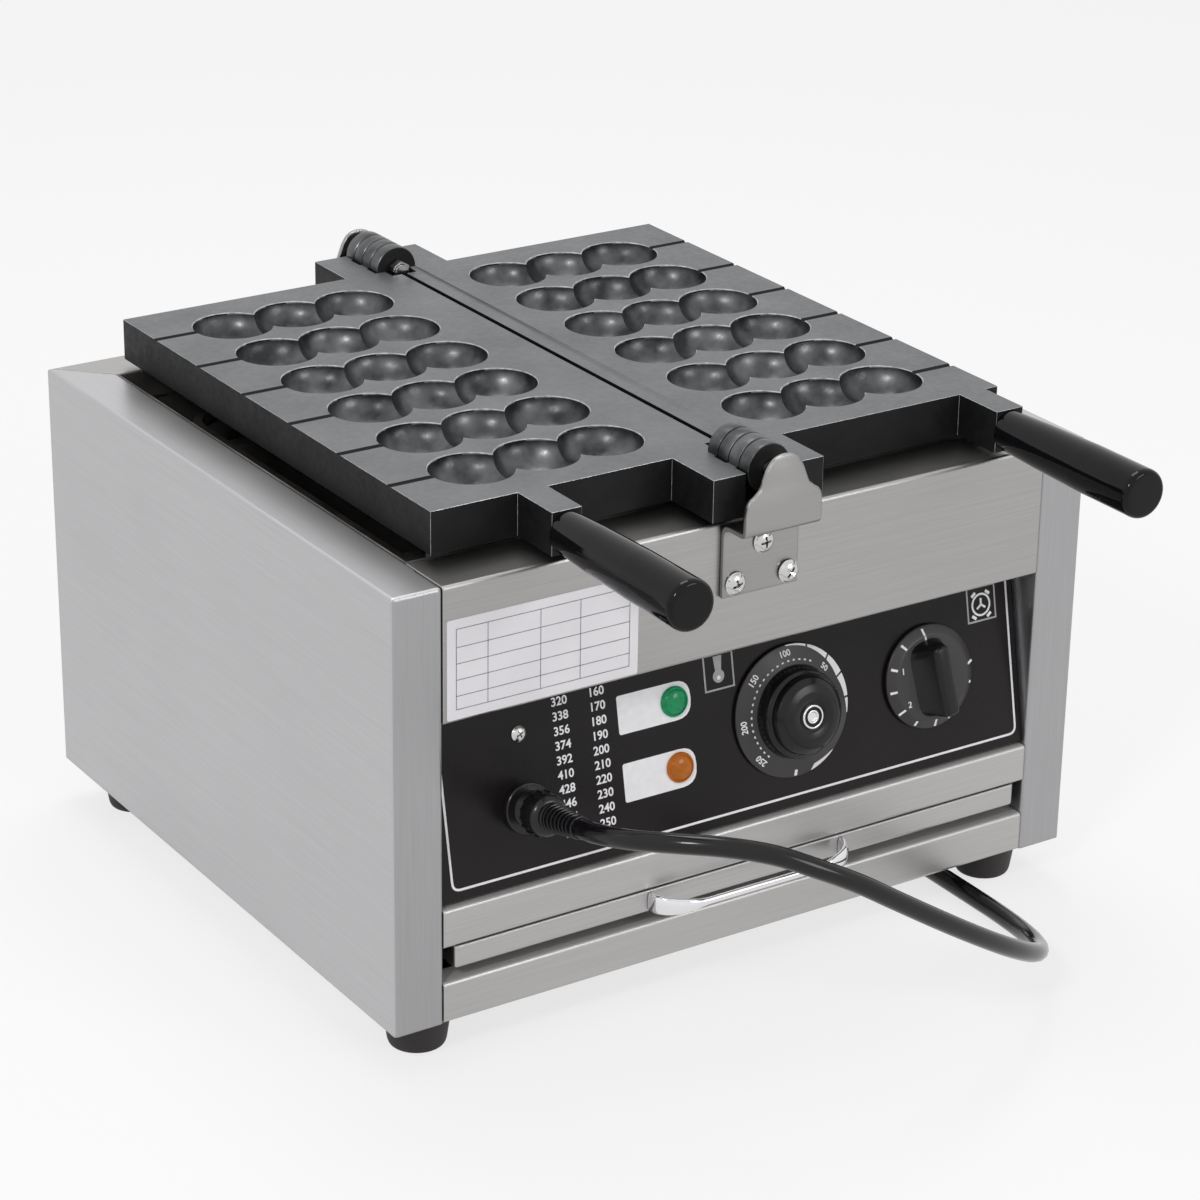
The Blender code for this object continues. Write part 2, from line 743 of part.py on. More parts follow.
def timer_knob(axle):
    low = KNOB_CLEAR
    profile = (
        (0, TIMER_CONE),
        (TIMER_RADIUS - TIMER_CONE, TIMER_CONE),
        (TIMER_RADIUS, TIMER_RIM),
        (TIMER_RADIUS, low),
        (0, low),
    )
    knob = turned("timer_knob", profile, 28, BLACK_PLASTIC)
    knob.matrix_world = Matrix.Rotation(math.radians(90), 4, "X")
    bar = box(
        "timer_bar",
        (-BAR_WIDTH / 2, -BAR_LENGTH / 2, TIMER_RIM),
        (BAR_WIDTH / 2, BAR_LENGTH / 2, BAR_HEIGHT),
        None,
        BAR_ROUNDING,
    )
    bar.matrix_world = Matrix.Rotation(BAR_LEAN, 4, "Y") @ knob.matrix_world
    combine(knob, bar, "UNION")
    combine(knob, shaft_bore("timer_knob_bore", axle))
    attach(bar, axle)
    attach(knob, axle)


def lamp(colour, at, finish, frame):
    profile = [(0, LENS_HEIGHT)]
    for share in (0.5, 0.8, 1.0):
        drop = 1 - math.sqrt(1 - share**2)
        height = LENS_RIM + (LENS_HEIGHT - LENS_RIM) * (1 - drop)
        profile.append((LENS_RADIUS * share, height))
    profile += [
        (LENS_RADIUS, SEAM),
        (LAMP_BARREL_RADIUS, SEAM),
        (LAMP_BARREL_RADIUS, -LAMP_BARREL_DEPTH),
        (0, -LAMP_BARREL_DEPTH),
    ]
    made = turned("lamp_" + colour, profile, 14, finish)
    made.matrix_world = facing_out(at)
    attach(made, frame)


def panel_screw(frame):
    profile = (
        (0, PANEL_SCREW_HEAD),
        (PANEL_SCREW_RADIUS / 2, PANEL_SCREW_HEAD * 0.9),
        (PANEL_SCREW_RADIUS, PANEL_SCREW_HEAD / 2),
        (PANEL_SCREW_RADIUS, SEAM),
        (PANEL_SCREW_SHANK, SEAM),
        (PANEL_SCREW_SHANK, -PANEL_SCREW_LENGTH),
        (0, -PANEL_SCREW_LENGTH),
    )
    screw = turned("panel_screw", profile, 12, STEEL)
    screw.matrix_world = facing_out(PANEL_SCREW_AT)
    attach(screw, frame)


def gland(frame):
    """Flanged body through the panel, a domed nut on it, and the tapered relief that holds the lead."""
    body = turned(
        "gland_body",
        (
            (0, GLAND_BARREL),
            (GLAND_BARREL_RADIUS, GLAND_BARREL),
            (GLAND_BARREL_RADIUS, GLAND_FLANGE),
            (GLAND_FLANGE_RADIUS, GLAND_FLANGE),
            (GLAND_FLANGE_RADIUS, SEAM),
            (GLAND_TAIL_RADIUS, SEAM),
            (GLAND_TAIL_RADIUS, -GLAND_TAIL),
            (0, -GLAND_TAIL),
        ),
        16,
        BLACK_PLASTIC,
    )
    nut_foot = GLAND_BARREL + SEAM
    dome = GLAND_NUT_END - nut_foot
    nut = turned(
        "gland_nut",
        (
            (0, GLAND_NUT_END),
            (GLAND_NUT_MOUTH, GLAND_NUT_END),
            (GLAND_NUT_RADIUS * 0.93, nut_foot + dome * 0.8),
            (GLAND_NUT_RADIUS, nut_foot + dome * 0.5),
            (GLAND_NUT_RADIUS, nut_foot),
            (0, nut_foot),
        ),
        16,
        BLACK_PLASTIC,
    )
    relief = turned(
        "strain_relief",
        (
            (0, RELIEF_END),
            (RELIEF_TIP_RADIUS, RELIEF_END),
            (RELIEF_FOOT_RADIUS, GLAND_NUT_END + SEAM),
            (0, GLAND_NUT_END + SEAM),
        ),
        16,
        CORD_BLACK,
    )
    for piece in (body, nut, relief):
        piece.matrix_world = facing_out(GLAND_AT)
        attach(piece, frame)


def controls():
    """The panel's frame, each knob's axle, and everything on and behind the panel."""
    slant = Matrix.Rotation(-PANEL_TILT, 4, "X")
    foot = Vector((0, -HALF_DEPTH + PANEL_FOOT_SET, level(PANEL_BOTTOM)))
    frame = empty("panel_frame", foot, slant)
    control_panel(frame)
    control_switch("thermostat_body", TEMPERATURE_AT, frame)
    control_switch("timer_body", TIMER_AT, frame)
    lamp("green", GREEN_LAMP_AT, GREEN_LENS, frame)
    lamp("amber", AMBER_LAMP_AT, AMBER_LENS, frame)
    panel_screw(frame)
    gland(frame)
    axles = []
    for name, at in (("temperature_axle", TEMPERATURE_AT), ("timer_axle", TIMER_AT)):
        place = foot + slant.to_3x3() @ Vector(outward(at, 0))
        axles.append(empty(name, place, slant))
    shaft("thermostat_shaft", TEMPERATURE_AT, axles[0])
    shaft("timer_shaft", TIMER_AT, axles[1])
    temperature_knob(axles[0])
    timer_knob(axles[1])
    return frame


# Mould plates


def knuckle_span(slot, end):
    """The y range of one knuckle; slot 0 is next to the plates, and end is -1 in front, 1 behind."""
    edge = PLATE_FRONT if end < 0 else PLATE_BACK
    near = KNUCKLE_GAP * (slot + 1) + KNUCKLE_WIDTH * slot
    return edge + end * near, edge + end * (near + KNUCKLE_WIDTH)


def own_slots(side, end):
    """The knuckles of one plate: the plates take turns, and the left one starts in front."""
    first = 0 if side == end else 1
    return range(first, KNUCKLES, 2)


def comb(side, end):
    """The outline's points along the hinge side of one lug, from the plate's edge outwards."""
    inner = PLATE_SPLIT / 2
    edge = PLATE_FRONT if end < 0 else PLATE_BACK
    slots = own_slots(side, end)
    points = [(inner, edge)]
    if 0 not in slots:
        points.append((LUG_INNER, edge))
    for slot in slots:
        near, far = knuckle_span(slot, end)
        near += end * SEAM
        far -= end * SEAM
        points += [(LUG_INNER if slot else inner, near), (0, near), (0, far), (LUG_INNER, far)]
    last = edge + end * KNUCKLE_STACK
    return points + [(LUG_INNER, last), (HINGE_LUG_OUTER, last), (HINGE_LUG_OUTER, edge)]


def plate_outline(side, handle_x):
    """The plan of a plate with its lugs: x is the distance from the hinge line."""
    near, far = handle_x - HANDLE_LUG_WIDTH / 2, handle_x + HANDLE_LUG_WIDTH / 2
    lug = [(near, PLATE_FRONT), (near, LUG_FRONT), (far, LUG_FRONT), (far, PLATE_FRONT)]
    outer = [(PLATE_OUTER, PLATE_FRONT), (PLATE_OUTER, PLATE_BACK)]
    return comb(side, -1) + lug + outer + comb(side, 1)[::-1]


def row_profile():
    """Half the section of one row of joined balls with its stick groove, from outer end to inner end."""
    half = BALL_PITCH / 2
    join = math.acos(half / BALL_RADIUS)
    tip = math.asin(GROOVE_RADIUS / BALL_RADIUS)
    groove_end = PLATE_OUTER + OVERRUN
    points = [(0, groove_end), (GROOVE_RADIUS, groove_end)]
    spans = [(tip, math.pi - join, 6)]
    spans += [(join, math.pi - join, 4)] * (BALLS - 2)
    spans += [(join, math.pi, 6)]
    for ball, (start, end, pieces) in enumerate(spans):
        centre = ROW_MIDDLE + BALL_PITCH * ((BALLS - 1) / 2 - ball)
        for step in range(0 if ball == 0 else 1, pieces + 1):
            angle = start + (end - start) * step / pieces
            points.append((BALL_RADIUS * math.sin(angle), centre + BALL_RADIUS * math.cos(angle)))
    points[-1] = (0, points[-1][1])
    return points


def row_cutter(name, side):
    """All rows of one plate: a turned row, flattened to the cavity depth and repeated along Y."""
    steps = 14
    cutter = turned(name, row_profile(), steps, None, math.pi / steps)
    rows = cutter.modifiers.new("rows", "ARRAY")
    rows.count = ROWS
    rows.use_relative_offset = False
    rows.use_constant_offset = True
    rows.constant_offset_displace = (0, ROW_PITCH, 0)
    first_row = PLATE_MIDDLE - ROW_PITCH * (ROWS - 1) / 2
    turn = Matrix.Rotation(math.radians(90 * side), 4, "Y")
    flatten = Matrix.Diagonal((BALL_DEPTH / BALL_RADIUS, 1, 1, 1))
    cutter.matrix_world = Matrix.Translation((0, first_row, level(PLATE_TOP))) @ turn @ flatten
    return cutter


def knuckle_discs(name, side):
    """The turned discs of one plate, with their edges chamfered."""
    bm = bmesh.new()
    for end in (-1, 1):
        for slot in own_slots(side, end):
            near, far = knuckle_span(slot, end)
            add_cylinder(
                bm, (0, near, level(PIN_LEVEL)), (0, far, level(PIN_LEVEL)), KNUCKLE_RADIUS, 20
            )
    rims = [edge for edge in bm.edges if len({round(v.co.y, 5) for v in edge.verts}) == 1]
    bmesh.ops.bevel(bm, geom=rims, offset=KNUCKLE_CHAMFER, segments=1, affect="EDGES")
    return from_bmesh(name, bm)


def mould_plate(name, side, handle_x, axle):
    outline = [(side * x, y) for x, y in plate_outline(side, handle_x)]
    bm = bmesh.new()
    top = level(PLATE_TOP)
    add_prism(bm, outline, top - PLATE_THICKNESS, top)
    plate = from_bmesh(name, bm, CAST)
    combine(plate, knuckle_discs(name + "_discs", side), "UNION")
    bores, notches = hinge_cutters(name)
    combine(plate, bores)
    combine(plate, notches)
    combine(plate, row_cutter(name + "_rows", side))
    low_x, high_x = PLATE_SPLIT / 2 + UNDERCUT_BORDER, PLATE_OUTER - UNDERCUT_BORDER
    corners = sorted((side * low_x, side * high_x))
    undercut = box(
        name + "_undercut",
        (corners[0], PLATE_FRONT + UNDERCUT_BORDER, top - PLATE_THICKNESS - OVERRUN),
        (corners[1], PLATE_BACK - UNDERCUT_BORDER, top - PLATE_THICKNESS + UNDERCUT_DEPTH),
        None,
        UNDERCUT_BORDER / 2,
    )
    combine(plate, undercut)
    stud_x, stud_z = side * handle_x, top - PLATE_THICKNESS / 2
    stud_bore = cylinder(
        name + "_stud_bore",
        (stud_x, LUG_FRONT - OVERRUN, stud_z),
        (stud_x, LUG_FRONT + STUD_IN_LUG + SEAM, stud_z),
        STUD_RADIUS + SEAM,
        14,
    )
    combine(plate, stud_bore)
    keep_place(plate, axle)


def hinge_cutters(name):
    """The pin's bore through the knuckles, and the wider notch for its nut between the plates."""
    bores, notches = bmesh.new(), bmesh.new()
    z = level(PIN_LEVEL)
    for end, edge in ((-1, PLATE_FRONT), (1, PLATE_BACK)):
        far, meet = edge + end * (KNUCKLE_STACK + OVERRUN), edge + end * KNUCKLE_GAP / 2
        add_cylinder(bores, (0, far, z), (0, edge - end * NOTCH_LENGTH / 2, z), PIN_BORE_RADIUS, 16)
        add_cylinder(notches, (0, meet, z), (0, edge - end * NOTCH_LENGTH, z), NOTCH_RADIUS, 16)
    return from_bmesh(name + "_bores", bores), from_bmesh(name + "_notches", notches)


def handle(side_name, side, handle_x, axle):
    z = level(PLATE_TOP) - PLATE_THICKNESS / 2
    x = side * handle_x
    stud = cylinder(
        "handle_stud_" + side_name,
        (x, LUG_FRONT + STUD_IN_LUG, z),
        (x, LUG_FRONT - SEAM - STUD_IN_GRIP, z),
        STUD_RADIUS,
        14,
        STEEL,
    )
    profile = [(0, GRIP_LENGTH)]
    steps = 3
    for step in range(steps + 1):
        angle = math.pi / 2 * step / steps
        inset = GRIP_END_ROUNDING * (1 - math.sin(angle))
        profile.append((GRIP_FAR_RADIUS - inset, GRIP_LENGTH - GRIP_END_ROUNDING * (1 - math.cos(angle))))
    profile += [
        (GRIP_NEAR_RADIUS, SEAM * 2),
        (GRIP_NEAR_RADIUS - SEAM, 0),
        (0, 0),
    ]
    grip = turned("handle_grip_" + side_name, profile, 20, BLACK_PLASTIC)
    grip.matrix_world = Matrix.Translation((x, LUG_FRONT - SEAM, z)) @ Matrix.Rotation(math.radians(90), 4, "X")
    bore = cylinder(
        "grip_bore_" + side_name,
        (x, LUG_FRONT + OVERRUN, z),
        (x, LUG_FRONT - 2 * SEAM - STUD_IN_GRIP, z),
        STUD_RADIUS + SEAM,
        14,
    )
    combine(grip, bore)
    keep_place(stud, axle)
    keep_place(grip, axle)


def moulds():
    hinge = Vector((0, PLATE_MIDDLE, level(PIN_LEVEL)))
    for side_name, side, handle_x in (("left", -1, LEFT_HANDLE_X), ("right", 1, RIGHT_HANDLE_X)):
        axle = empty(side_name + "_mould_axle", hinge)
        bpy.context.view_layer.update()
        mould_plate("mould_plate_" + side_name, side, handle_x, axle)
        handle(side_name, side, handle_x, axle)


# Hinge brackets and pins


def bolt_hole_cutter(name, end):
    bm = bmesh.new()
    near, far = HALF_DEPTH - SHEET - OVERRUN, HALF_DEPTH + BRACKET_FACE + OVERRUN
    for _, x, drop in BOLT_PLACES:
        z = level(CASE_HEIGHT - drop)
        start, stop = (x, end * near, z), (x, end * far, z)
        add_cylinder(bm, start, stop, BOLT_SHANK_RADIUS + SEAM, 12)
    return from_bmesh(name, bm)


def bolt_holes(obj, end):
    combine(obj, bolt_hole_cutter(obj.name + "_bolt_holes", end))


def bell_outline():
    """The bracket's front view: straight below, drawn in to a round top about the pin."""
    half = BRACKET_WIDTH / 2
    right = [
        (half, level(CASE_HEIGHT - BRACKET_DROP) - OVERRUN),
        (half, level(CASE_HEIGHT + TAB_SHOULDER_RISE)),
        (TAB_WAIST, level(CASE_HEIGHT + TAB_WAIST_RISE)),
    ]
    arc = []
    steps = 8
    for step in range(steps + 1):
        angle = math.pi * step / steps
        x = TAB_RADIUS * math.cos(angle)
        arc.append((x, level(PIN_LEVEL) + TAB_RADIUS * math.sin(angle)))
    left = [(-x, z) for x, z in reversed(right)]
    return right + arc + left


def hinge_bracket(name, end, reach):
    """Plate on the case, shelf outwards and rounded tab upwards, bent from one strip."""
    face = end * (HALF_DEPTH + BRACKET_FACE)
    tab = face + end * reach
    shelf = level(CASE_HEIGHT) - BRACKET_SHEET
    outline = (
        (face, level(CASE_HEIGHT - BRACKET_DROP)),
        (face, shelf),
        (tab, shelf),
        (tab, level(PIN_LEVEL) + TAB_RADIUS + OVERRUN),
    )
    half = BRACKET_WIDTH / 2 + OVERRUN
    bracket = folded(name, outline, -half, half, STEEL, BRACKET_SHEET, -end)
    bm = bmesh.new()
    add_prism(bm, bell_outline(), -CASE_DEPTH, CASE_DEPTH)
    bell = from_bmesh(name + "_outline", bm)
    bell.matrix_world = Matrix.Rotation(math.radians(90), 4, "X")
    combine(bracket, bell, "INTERSECT")
    bolt_holes(bracket, end)


def bracket_bolts(name, end):
    """Round-headed bolts: each head lies on the bracket, and its shank goes through the case's wall."""
    profile = [(0, BOLT_HEAD)]
    for share in (0.55, 0.85):
        profile.append((BOLT_HEAD_RADIUS * share, SEAM + (BOLT_HEAD - SEAM) * math.sqrt(1 - share**2)))
    profile += [
        (BOLT_HEAD_RADIUS, SEAM + (BOLT_HEAD - SEAM) / 4),
        (BOLT_HEAD_RADIUS, SEAM),
        (BOLT_SHANK_RADIUS, SEAM),
        (BOLT_SHANK_RADIUS, -BOLT_LENGTH),
        (0, -BOLT_LENGTH),
    ]
    y = end * (HALF_DEPTH + BRACKET_FACE)
    turn = Matrix.Rotation(math.radians(-90 * end), 4, "X")
    for place, x, drop in BOLT_PLACES:
        bolt = turned(name + "_" + place, profile, 10, STEEL)
        bolt.matrix_world = Matrix.Translation((x, y, level(CASE_HEIGHT - drop))) @ turn


def hinge_pin(end_name, end, reach):
    """Welded to the back of the bracket's tab, through all knuckles, with a nut on its inner end."""
    edge = PLATE_FRONT if end < 0 else PLATE_BACK
    z = level(PIN_LEVEL)
    tab_back = end * (HALF_DEPTH + BRACKET_FACE + reach - BRACKET_SHEET - SEAM)
    inner = edge - end * PIN_END
    cylinder("hinge_pin_" + end_name, (0, tab_back, z), (0, inner, z), PIN_RADIUS, 16, STEEL)
    nut_start = edge - end * KNUCKLE_GAP
    nut = cylinder(
        "pin_nut_" + end_name,
        (0, nut_start, z),
        (0, nut_start - end * PIN_NUT_LENGTH, z),
        PIN_NUT_RADIUS,
        6,
        STEEL,
    )
    bore = cylinder(
        "pin_nut_bore_" + end_name,
        (0, nut_start + end * OVERRUN, z),
        (0, nut_start - end * (PIN_NUT_LENGTH + OVERRUN), z),
        PIN_BORE_RADIUS,
        16,
    )
    combine(nut, bore)


# Heating space


def heat_chamber():
    """A frame of four walls under the plates, with holes for the heaters' ends."""
    bm = bmesh.new()
    low = (-CLEAR_HALF, CHAMBER_FRONT, level(CHAMBER_LOW))
    high = (CLEAR_HALF, CHAMBER_BACK, level(CASE_HEIGHT))
    add_box(bm, low, high)
    bmesh.ops.delete(bm, geom=[face for face in bm.faces if abs(face.normal.z) > 0.5], context="FACES")
    chamber = from_bmesh("heat_chamber", bm, DARK_STEEL)
    round_and_thicken(chamber)
    holes = bmesh.new()
    for side in (-1, 1):
        for run in (0, HEATER_RUNS - 1):
            x = side * (HEATER_INNER + HEATER_PITCH * run)
            start = (x, CHAMBER_FRONT - OVERRUN, level(HEATER_LEVEL))
            end = (x, CHAMBER_FRONT + SHEET + OVERRUN, level(HEATER_LEVEL))
            add_cylinder(holes, start, end, HEATER_RADIUS + SEAM, 12)
    combine(chamber, from_bmesh("heater_hole_cutter", holes))


def heat_shield():
    """Keeps the drips and the heat out of the control space."""
    y = -HALF_DEPTH + SHIELD_SETBACK
    reach = HALF_WIDTH - SHEET - SEAM
    z = level(CHAMBER_LOW) - SEAM
    outline = (
        (y, level(SHIELD_LOW)),
        (y, z),
        (CHAMBER_FRONT, z),
    )
    folded("heat_shield", outline, -reach, reach, DARK_STEEL)


def heater(name, side):
    """A tubular element bent to and fro under one plate, with both ends out in front."""
    radius = HEATER_PITCH / 2
    front = CHAMBER_FRONT + HEATER_TURN_MARGIN + radius
    back = CHAMBER_BACK - HEATER_TURN_MARGIN - radius
    end = CHAMBER_FRONT - HEATER_TAIL
    z = level(HEATER_LEVEL)
    points = [(side * HEATER_INNER, end, z)]
    steps = 8
    for turn in range(HEATER_RUNS - 1):
        centre_x = HEATER_INNER + HEATER_PITCH * (turn + 0.5)
        centre_y, way = (back, 1) if turn % 2 == 0 else (front, -1)
        for step in range(steps + 1):
            angle = math.pi * (1 - step / steps)
            x = centre_x + radius * math.cos(angle)
            points.append((side * x, centre_y + way * radius * math.sin(angle), z))
    points.append((side * (HEATER_INNER + HEATER_PITCH * (HEATER_RUNS - 1)), end, z))
    tube(name, points, HEATER_RADIUS, 1, DARK_STEEL)


def heater_bars():
    reach = CLEAR_HALF - SHEET - SEAM
    top = level(HEATER_LEVEL) - HEATER_RADIUS - SEAM
    for name, way in (("heater_bar_front", -1), ("heater_bar_rear", 1)):
        y = (CHAMBER_FRONT + CHAMBER_BACK) / 2 + way * HEATER_BAR_SHARE * (CHAMBER_BACK - CHAMBER_FRONT)
        outline = ((y + HEATER_BAR_WIDTH, top), (y, top), (y, top - HEATER_BAR_HEIGHT))
        folded(name, outline, -reach, reach, DARK_STEEL)


def plate_rests():
    """An angle along the front wall and one along the back wall: the mould plates lie on them."""
    reach = CLEAR_HALF - SHEET - REST_MARGIN
    top = level(PLATE_TOP) - PLATE_THICKNESS - SEAM
    wall = SHEET + SEAM
    for name, y, way in (
        ("plate_rest_front", CHAMBER_FRONT + wall, 1),
        ("plate_rest_rear", CHAMBER_BACK - wall, -1),
    ):
        outline = ((y + way * REST_WIDTH, top), (y, top), (y, top - REST_HEIGHT))
        folded(name, outline, -reach, reach, DARK_STEEL, REST_SHEET, -way)


def terminal_block():
    """Bolted to the heat shield behind the gland, with a screw hole over each pole."""
    width, depth, height = TERMINAL_SIZE
    x, z = GLAND_AT[0], level(TERMINAL_LEVEL)
    back = -HALF_DEPTH + SHIELD_SETBACK - SHEET - SEAM
    block = box(
        "terminal_block",
        (x - width / 2, back - depth, z - height / 2),
        (x + width / 2, back, z + height / 2),
        PALE_PLASTIC,
        depth / 8,
        2,
        2,
    )
    bm = bmesh.new()
    for pole in range(TERMINAL_POLES):
        pole_x = x + width / TERMINAL_POLES * (pole - (TERMINAL_POLES - 1) / 2)
        start = (pole_x, back - depth - OVERRUN, z)
        end = (pole_x, back - depth + TERMINAL_SCREW_DEPTH, z)
        add_cylinder(bm, start, end, TERMINAL_SCREW_RADIUS, 12)
    combine(block, from_bmesh("terminal_hole_cutter", bm))


# Crumb tray


def crumb_tray(slide):
    bm = bmesh.new()
    low = (-TRAY_HALF, -HALF_DEPTH, level(TRAY_LEVEL))
    high = (TRAY_HALF, HALF_DEPTH - TRAY_BACK_CLEARANCE, level(TRAY_LEVEL + TRAY_HEIGHT))
    add_box(bm, low, high)
    bmesh.ops.delete(bm, geom=[face for face in bm.faces if face.normal.z > 0.5], context="FACES")
    tray = from_bmesh("crumb_tray", bm, STEEL)
    round_and_thicken(tray)
    keep_place(tray, slide)


def tray_handle(slide):
    """A bow pull: a flat bar that curves back to a tall foot at each end."""
    half = BOW_WIDTH / 2
    steps = 6
    centre_line = []
    for step in range(steps + 1):
        angle = math.pi / 2 * step / steps
        x = half - BOW_CURVE * (1 - math.sin(angle))
        y = BOW_REACH * (1 - math.cos(angle)) if step < steps else BOW_REACH
        share = step / steps
        centre_line.append((half - BOW_CURVE * (1 - math.cos(angle)), BOW_REACH * math.sin(angle), share))
    bm = bmesh.new()
    middle = level(TRAY_LEVEL) + TRAY_HEIGHT / 2
    face = -HALF_DEPTH - SEAM
    path = centre_line + [(-x, y, share) for x, y, share in reversed(centre_line)]
    rings = []
    for index, (x, y, share) in enumerate(path):
        before, after = path[max(index - 1, 0)], path[min(index + 1, len(path) - 1)]
        run = Vector((after[0] - before[0], after[1] - before[1]))
        if index in (0, len(path) - 1):
            run = Vector((0, 1 if index == 0 else -1))
        across = Vector((-run.y, run.x)).normalized() * BOW_THICKNESS / 2
        tall = (BOW_FOOT_HEIGHT + (BOW_BAR_HEIGHT - BOW_FOOT_HEIGHT) * share) / 2
        rings.append(
            [
                bm.verts.new((x + way * across.x, face - y - way * across.y, middle + up * tall))
                for way, up in ((-1, -1), (1, -1), (1, 1), (-1, 1))
            ]
        )
    for near, far in zip(rings, rings[1:]):
        for corner in range(4):
            following = (corner + 1) % 4
            bm.faces.new((near[corner], near[following], far[following], far[corner]))
    bm.faces.new(rings[0])
    bm.faces.new(rings[-1][::-1])
    bmesh.ops.recalc_face_normals(bm, faces=bm.faces)
    keep_place(from_bmesh("tray_handle", bm, CHROME), slide)


def tray_runners():
    """An angle on the base plate at each side: the tray's floor slides on its upper flange."""
    top = level(TRAY_LEVEL) - SEAM
    floor = level(SHEET) + SEAM
    start = -HALF_DEPTH + COLUMN_RETURN + SEAM
    end = HALF_DEPTH - TRAY_BACK_CLEARANCE
    for name, side in (("tray_runner_left", -1), ("tray_runner_right", 1)):
        wall = -side * (TRAY_HALF - RUNNER_INSET)
        outline = (
            (wall + side * RUNNER_WIDTH, top),
            (wall, top),
            (wall, floor),
            (wall + side * RUNNER_FOOT, floor),
        )
        runner = folded(name, outline, start, end, DARK_STEEL, SHEET, -side)
        runner.rotation_euler.z = math.radians(90)


# Mains lead


def smooth_route(points, spacing):
    """Evenly spaced points on a smooth curve, with the first and the last stretch kept straight."""
    route = [Vector(point) for point in points]
    fine = []
    pieces = 12
    for a, b, c, d in zip(route, route[1:], route[2:], route[3:]):
        for piece in range(pieces):
            t = piece / pieces
            square = (a * 2 - b * 5 + c * 4 - d) * t**2
            cube = (b * 3 - a - c * 3 + d) * t**3
            fine.append((b * 2 + (c - a) * t + square + cube) / 2)
    fine.append(route[-2])
    count = max(2, round(path_length(fine) / spacing))
    step = path_length(fine) / count
    even, walked = [fine[0]], 0.0
    for near, far in zip(fine, fine[1:]):
        piece = (far - near).length
        while walked + piece >= step * len(even) and len(even) < count:
            even.append(near + (far - near) * ((step * len(even) - walked) / piece))
        walked += piece
    return [route[0]] + even + [fine[-1], route[-1]]


def path_length(points):
    return sum((far - near).length for near, far in zip(points, points[1:]))


def coil_centre():
    y = HALF_DEPTH + COIL_BEHIND + COIL_RADIUS + CORD_RADIUS
    return Vector((CORD_LANE - COIL_RADIUS, y, 0))


def coil_point(turns):
    """A place on the coil after so many turns: it winds in on the table and out again on top."""
    turning = COIL_LAYER_TURNS
    radius = COIL_RADIUS - COIL_PITCH * (turning - abs(turning - turns))
    climb = min(max((turns - turning + 0.25) / 0.5, 0), 1)
    angle = turns * math.tau
    flat = Vector((math.cos(angle), math.sin(angle), 0)) * radius
    return coil_centre() + flat + Vector((0, 0, COIL_LIE + COIL_PITCH * climb))


def coil_path():
    """The whole coil: a straight start, its turns, and a straight tail that leaves along -X."""
    turns = COIL_LAYER_TURNS * 2
    count = round(turns * COIL_LOOP_POINTS)
    loops = [coil_point(turns * i / count) for i in range(count + 1)]
    start = loops[0] - Vector((0, CORD_RADIUS * 2, 0))
    bend = 6
    tail = [loops[-1] - Vector((COIL_TAIL * i / bend, 0, 0)) for i in range(1, bend + 1)]
    return [start] + loops + tail


def least_gap(points, radius):
    """The least gap of a tube to itself, between stretches that are over half a turn apart."""
    apart = COIL_LOOP_POINTS // 2
    least = math.inf
    for i in range(len(points) - 1):
        for j in range(i + apart, len(points)):
            for share in (0, 0.5):
                place = points[i].lerp(points[i + 1], share)
                least = min(least, (place - points[j]).length)
    return least - 2 * radius


def power_cord(frame):
    bpy.context.view_layer.update()
    out = frame.matrix_world.to_3x3() @ Vector((0, -1, 0))
    exit_point = frame.matrix_world @ Vector(outward(GLAND_AT, RELIEF_END + SEAM))
    coil = coil_path()
    lane_end = coil[0] - Vector((0, SEAM, 0))
    lane_start = Vector((CORD_LANE, CORD_LANE_START, CORD_LIE))
    route = [exit_point, exit_point + out * CORD_RADIUS * 2]
    route += [Vector(point) for point in CORD_ROUTE]
    straight = 6
    lane = [lane_start.lerp(Vector((CORD_LANE, lane_end.y, CORD_LIE)), i / straight) for i in range(straight)]
    route += lane
    route += [lane_end - Vector((0, CORD_RADIUS * 2, 0)), lane_end]
    points = smooth_route(route, CORD_STEP)
    tube("power_cord", points, CORD_RADIUS, 2, CORD_BLACK)
    tube("cord_coil", coil, CORD_RADIUS, 1, CORD_BLACK)
    print(f"cord length {path_length(points) + path_length(coil):.3f} m")
    print(f"least gap of the coil to itself {least_gap(coil, CORD_RADIUS) * 1000:.2f} mm")
    return coil


def cord_tie():
    """A strap round all turns of the coil, on the side away from the case."""
    radii = [
        COIL_RADIUS - COIL_PITCH * (COIL_LAYER_TURNS - abs(COIL_LAYER_TURNS - turns))
        for turns in tie_turns()
    ]
    clear = CORD_RADIUS + TIE_CLEARANCE
    inner, outer = min(radii) - clear, max(radii) + clear
    low, high = COIL_LIE - clear, COIL_LIE + COIL_PITCH + clear
    bm = bmesh.new()
    half = TIE_WIDTH / 2
    add_box(
        bm,
        (inner - TIE_SHEET, -half, low - TIE_SHEET),
        (outer + TIE_SHEET, half, high + TIE_SHEET),
        CORD_RADIUS / 2,
        1,
    )
    tie = from_bmesh("cord_tie", bm, CORD_BLACK)
    hole = box(
        "tie_hole",
        (inner, -half - OVERRUN, low),
        (outer, half + OVERRUN, high),
        None,
        CORD_RADIUS / 2 - TIE_SHEET,
        1,
    )
    combine(tie, hole)
    place = Matrix.Translation(coil_centre()) @ Matrix.Rotation(TIE_TURN, 4, "Z")
    tie.matrix_world = place
    hole.matrix_world = place


def tie_turns():
    """How far round the coil each of its passes is where the tie holds it."""
    first = TIE_TURN / math.tau
    passes = int(COIL_LAYER_TURNS * 2 - first) + 1
    return [first + i for i in range(passes)]


